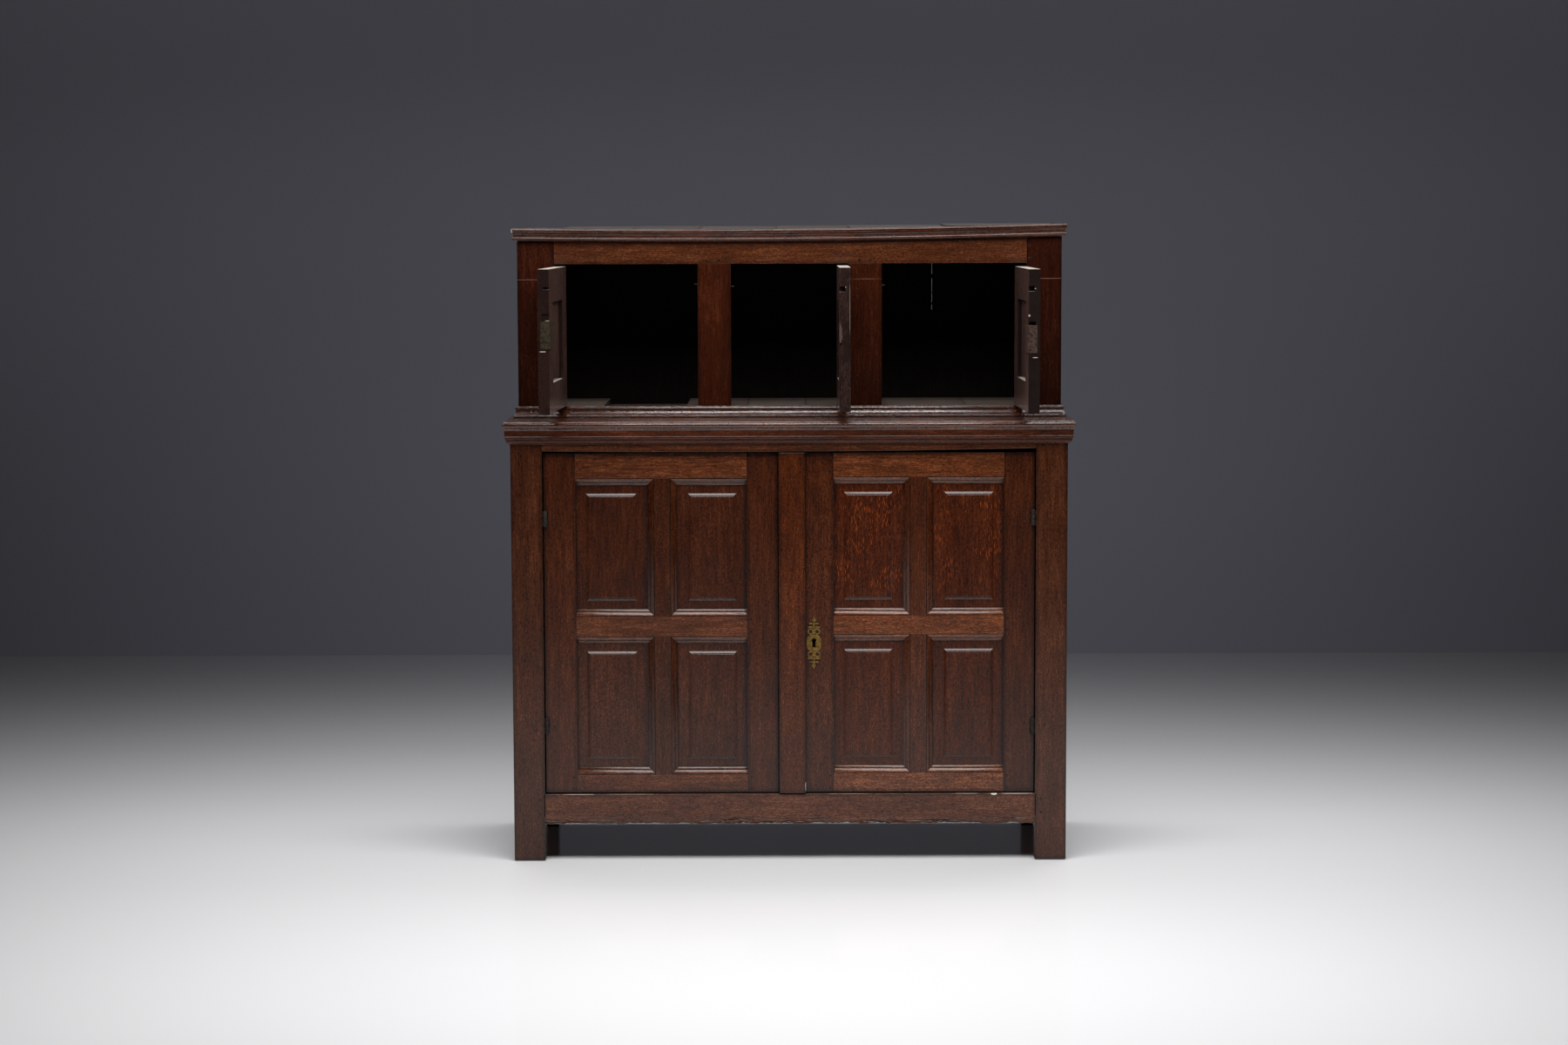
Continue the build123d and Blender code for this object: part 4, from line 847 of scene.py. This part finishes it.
def nailMesh(name, places, body):
    # flat round nail heads on the front face
    sides = nails["sides"]
    turns = [2 * math.pi * number / sides for number in range(sides)]
    corners, faces = [], []
    for x, y, z, radius in places:
        start = len(corners)
        for ringRadius, out in ((radius, 0.0), (radius * nails["crown"], nails["proud"])):
            corners += [((x + ringRadius * math.cos(turn)) * mm, (y - out) * mm,
                         (z + ringRadius * math.sin(turn)) * mm) for turn in turns]
        for number in range(sides):
            after = (number + 1) % sides
            faces.append((start + number, start + after, start + sides + after, start + sides + number))
        faces.append(tuple(range(start + sides, start + 2 * sides)))
    return addMesh(name, corners, faces, body)


draw = np.random.default_rng(11)
for hand, sign in (("left", -1), ("right", 1)):
    door = "lower_door_" + hand
    for piece, body, direction in (("leg", "root", 1), ("door", door, -1)):
        places = []
        for centre in nails["hinges"][door]:
            for count in range(nails["each"]):
                away = nails["axis"] + direction * draw.uniform(*nails["away"])
                level = centre + draw.uniform(-nails["upDown"], nails["upDown"])
                radius = nails["radius"] * draw.uniform(nails["smallest"], 1)
                places.append((sign * away, nails[piece + "Face"], level, radius))
        made = nailMesh("nails_%s_%s" % (piece, hand), places, body)
        coat(made, ironPaint)
print("iron and brass dressed")

studio = {              # lengths in metres
    "floor": srgb(244, 244, 245),
    "floorCloud": srgb(214, 214, 218),
    "floorShadeFar": srgb(97, 97, 101),
    "floorShadeFade": (0.0, 3.8),        # painted shade: from the object back to where the floor is painted darkest
    "floorShadeShare": 0.64,
    "floorEnds": (4.5, 8.0),        # beyond this it runs into the room
    "floorGloss": 0.07,
    "reach": 30,
    # the wall is painted darker low down and lighter high up: painted shade and light
    "wallShadedLow": srgb(126, 127, 137),
    "wallLitHigh": srgb(193, 194, 207),
    "wallShade": (0.0, 3.6),
    "wallDistance": 3.72,
    "wallTop": 12,
    "room": srgb(58, 58, 63),
    "roomLight": 0.02,
}
lamps = {               # softboxes that look straight down
    "key": {"place": (0.1, -1.45, 2.95), "size": (3.2, 1.6), "power": 124, "spread": 165},
    "overhead": {"place": (0.1, 0.8, 2.9), "size": (3.4, 1.0), "power": 34, "spread": 120},
}
view = {
    "place": (0, -8.412, 1.716),
    "tilt": 5.679,          # degrees down
    "turn": 0.094,          # degrees to the left
    "roll": 0.003,          # radians
    "lens": 73,
    "sensor": 36,
}


def floorPaint():
    paint = Paint(bpy.data.materials.new("studio_floor"))
    place = paint.node("ShaderNodeTexCoord", output="Object")
    cloud = paint.noise(place, 0.7, detail=3)
    fine = paint.noise(place, 14.0, detail=4, roughness=0.6)
    colour = paint.mix(cloud.step(0.3, 0.7) * 0.04 + fine * 0.02, studio["floor"], studio["floorCloud"])
    # painted shade: the floor is painted darker towards the back, standing in for the light falling off
    paintedFalloff = paint.parts(place)[1].step(*studio["floorShadeFade"]) * studio["floorShadeShare"]
    colour = paint.mix(paintedFalloff, colour, studio["floorShadeFar"])
    surface = paint.surface(Base_Color=colour, Roughness=studio["floorGloss"] + fine * 0.05,
                            Specular_IOR_Level=0.5)
    # far out, where no lamp reaches, the floor runs into the colour of the room
    seen = paint.node("ShaderNodeLightPath", output="Is Camera Ray")
    room = paint.node("ShaderNodeEmission", values={"Color": studio["room"]})
    return paint.finish(paint.node("ShaderNodeMixShader", values={
        0: seen * paint.length(place).step(*studio["floorEnds"]), 1: surface, 2: room}))


def wallPaint():
    # seen from behind, the wall isn't there
    paint = Paint(bpy.data.materials.new("studio_wall"))
    height = paint.parts(paint.node("ShaderNodeTexCoord", output="Object"))[2]
    # painted light: paler towards the top, darker towards the floor
    colour = paint.mix(height.step(*studio["wallShade"]), studio["wallShadedLow"], studio["wallLitHigh"])
    surface = paint.node("ShaderNodeBsdfDiffuse", values={"Color": colour})
    clear = paint.node("ShaderNodeBsdfTransparent")
    behind = paint.node("ShaderNodeNewGeometry", output="Backfacing")
    return paint.finish(paint.node("ShaderNodeMixShader", values={0: behind, 1: surface, 2: clear}))


def roomPaint():
    paint = Paint(bpy.data.worlds.new("room"))
    seen = paint.node("ShaderNodeLightPath", output="Is Camera Ray")
    strength = paint.node("ShaderNodeMapRange", values={"Value": seen, "To Min": studio["roomLight"]})
    light = paint.node("ShaderNodeBackground", values={"Color": studio["room"], "Strength": strength})
    return paint.finish(light, "ShaderNodeOutputWorld")


def sheetMesh(name, corners, material):
    coat(addMesh(name, corners, [(0, 1, 2, 3)]), material)


def softbox(name, lamp):
    light = bpy.data.lights.new(name, "AREA")
    light.shape = "RECTANGLE"
    light.size, light.size_y = lamp["size"]
    light.energy = lamp["power"]
    light.spread = math.radians(lamp["spread"])
    made = bpy.data.objects.new(name, light)
    made.location = lamp["place"]
    made.visible_camera = False
    bpy.context.scene.collection.objects.link(made)


reach, wallY, wallTop = studio["reach"], studio["wallDistance"], studio["wallTop"]
sheetMesh("studio_floor", [(-reach, -reach, 0), (reach, -reach, 0), (reach, reach, 0), (-reach, reach, 0)],
          floorPaint())
sheetMesh("studio_wall", [(-reach, wallY, 0), (reach, wallY, 0), (reach, wallY, wallTop),
                          (-reach, wallY, wallTop)], wallPaint())
bpy.context.scene.world = roomPaint()
for name, lamp in lamps.items():
    softbox(name, lamp)

camera = bpy.data.cameras.new("camera")
camera.lens = view["lens"]
camera.sensor_width = view["sensor"]
eye = bpy.data.objects.new("camera", camera)
eye.location = view["place"]
eye.rotation_mode = "XYZ"
aim = Matrix.Rotation(math.radians(view["turn"]), 4, "Z")
aim = aim @ Matrix.Rotation(math.radians(90 - view["tilt"]), 4, "X")
aim = aim @ Matrix.Rotation(-view["roll"], 4, "Z")
eye.rotation_euler = aim.to_euler()
bpy.context.scene.collection.objects.link(eye)
bpy.context.scene.camera = eye
bpy.context.scene.view_settings.view_transform = "Standard"
print("studio built")
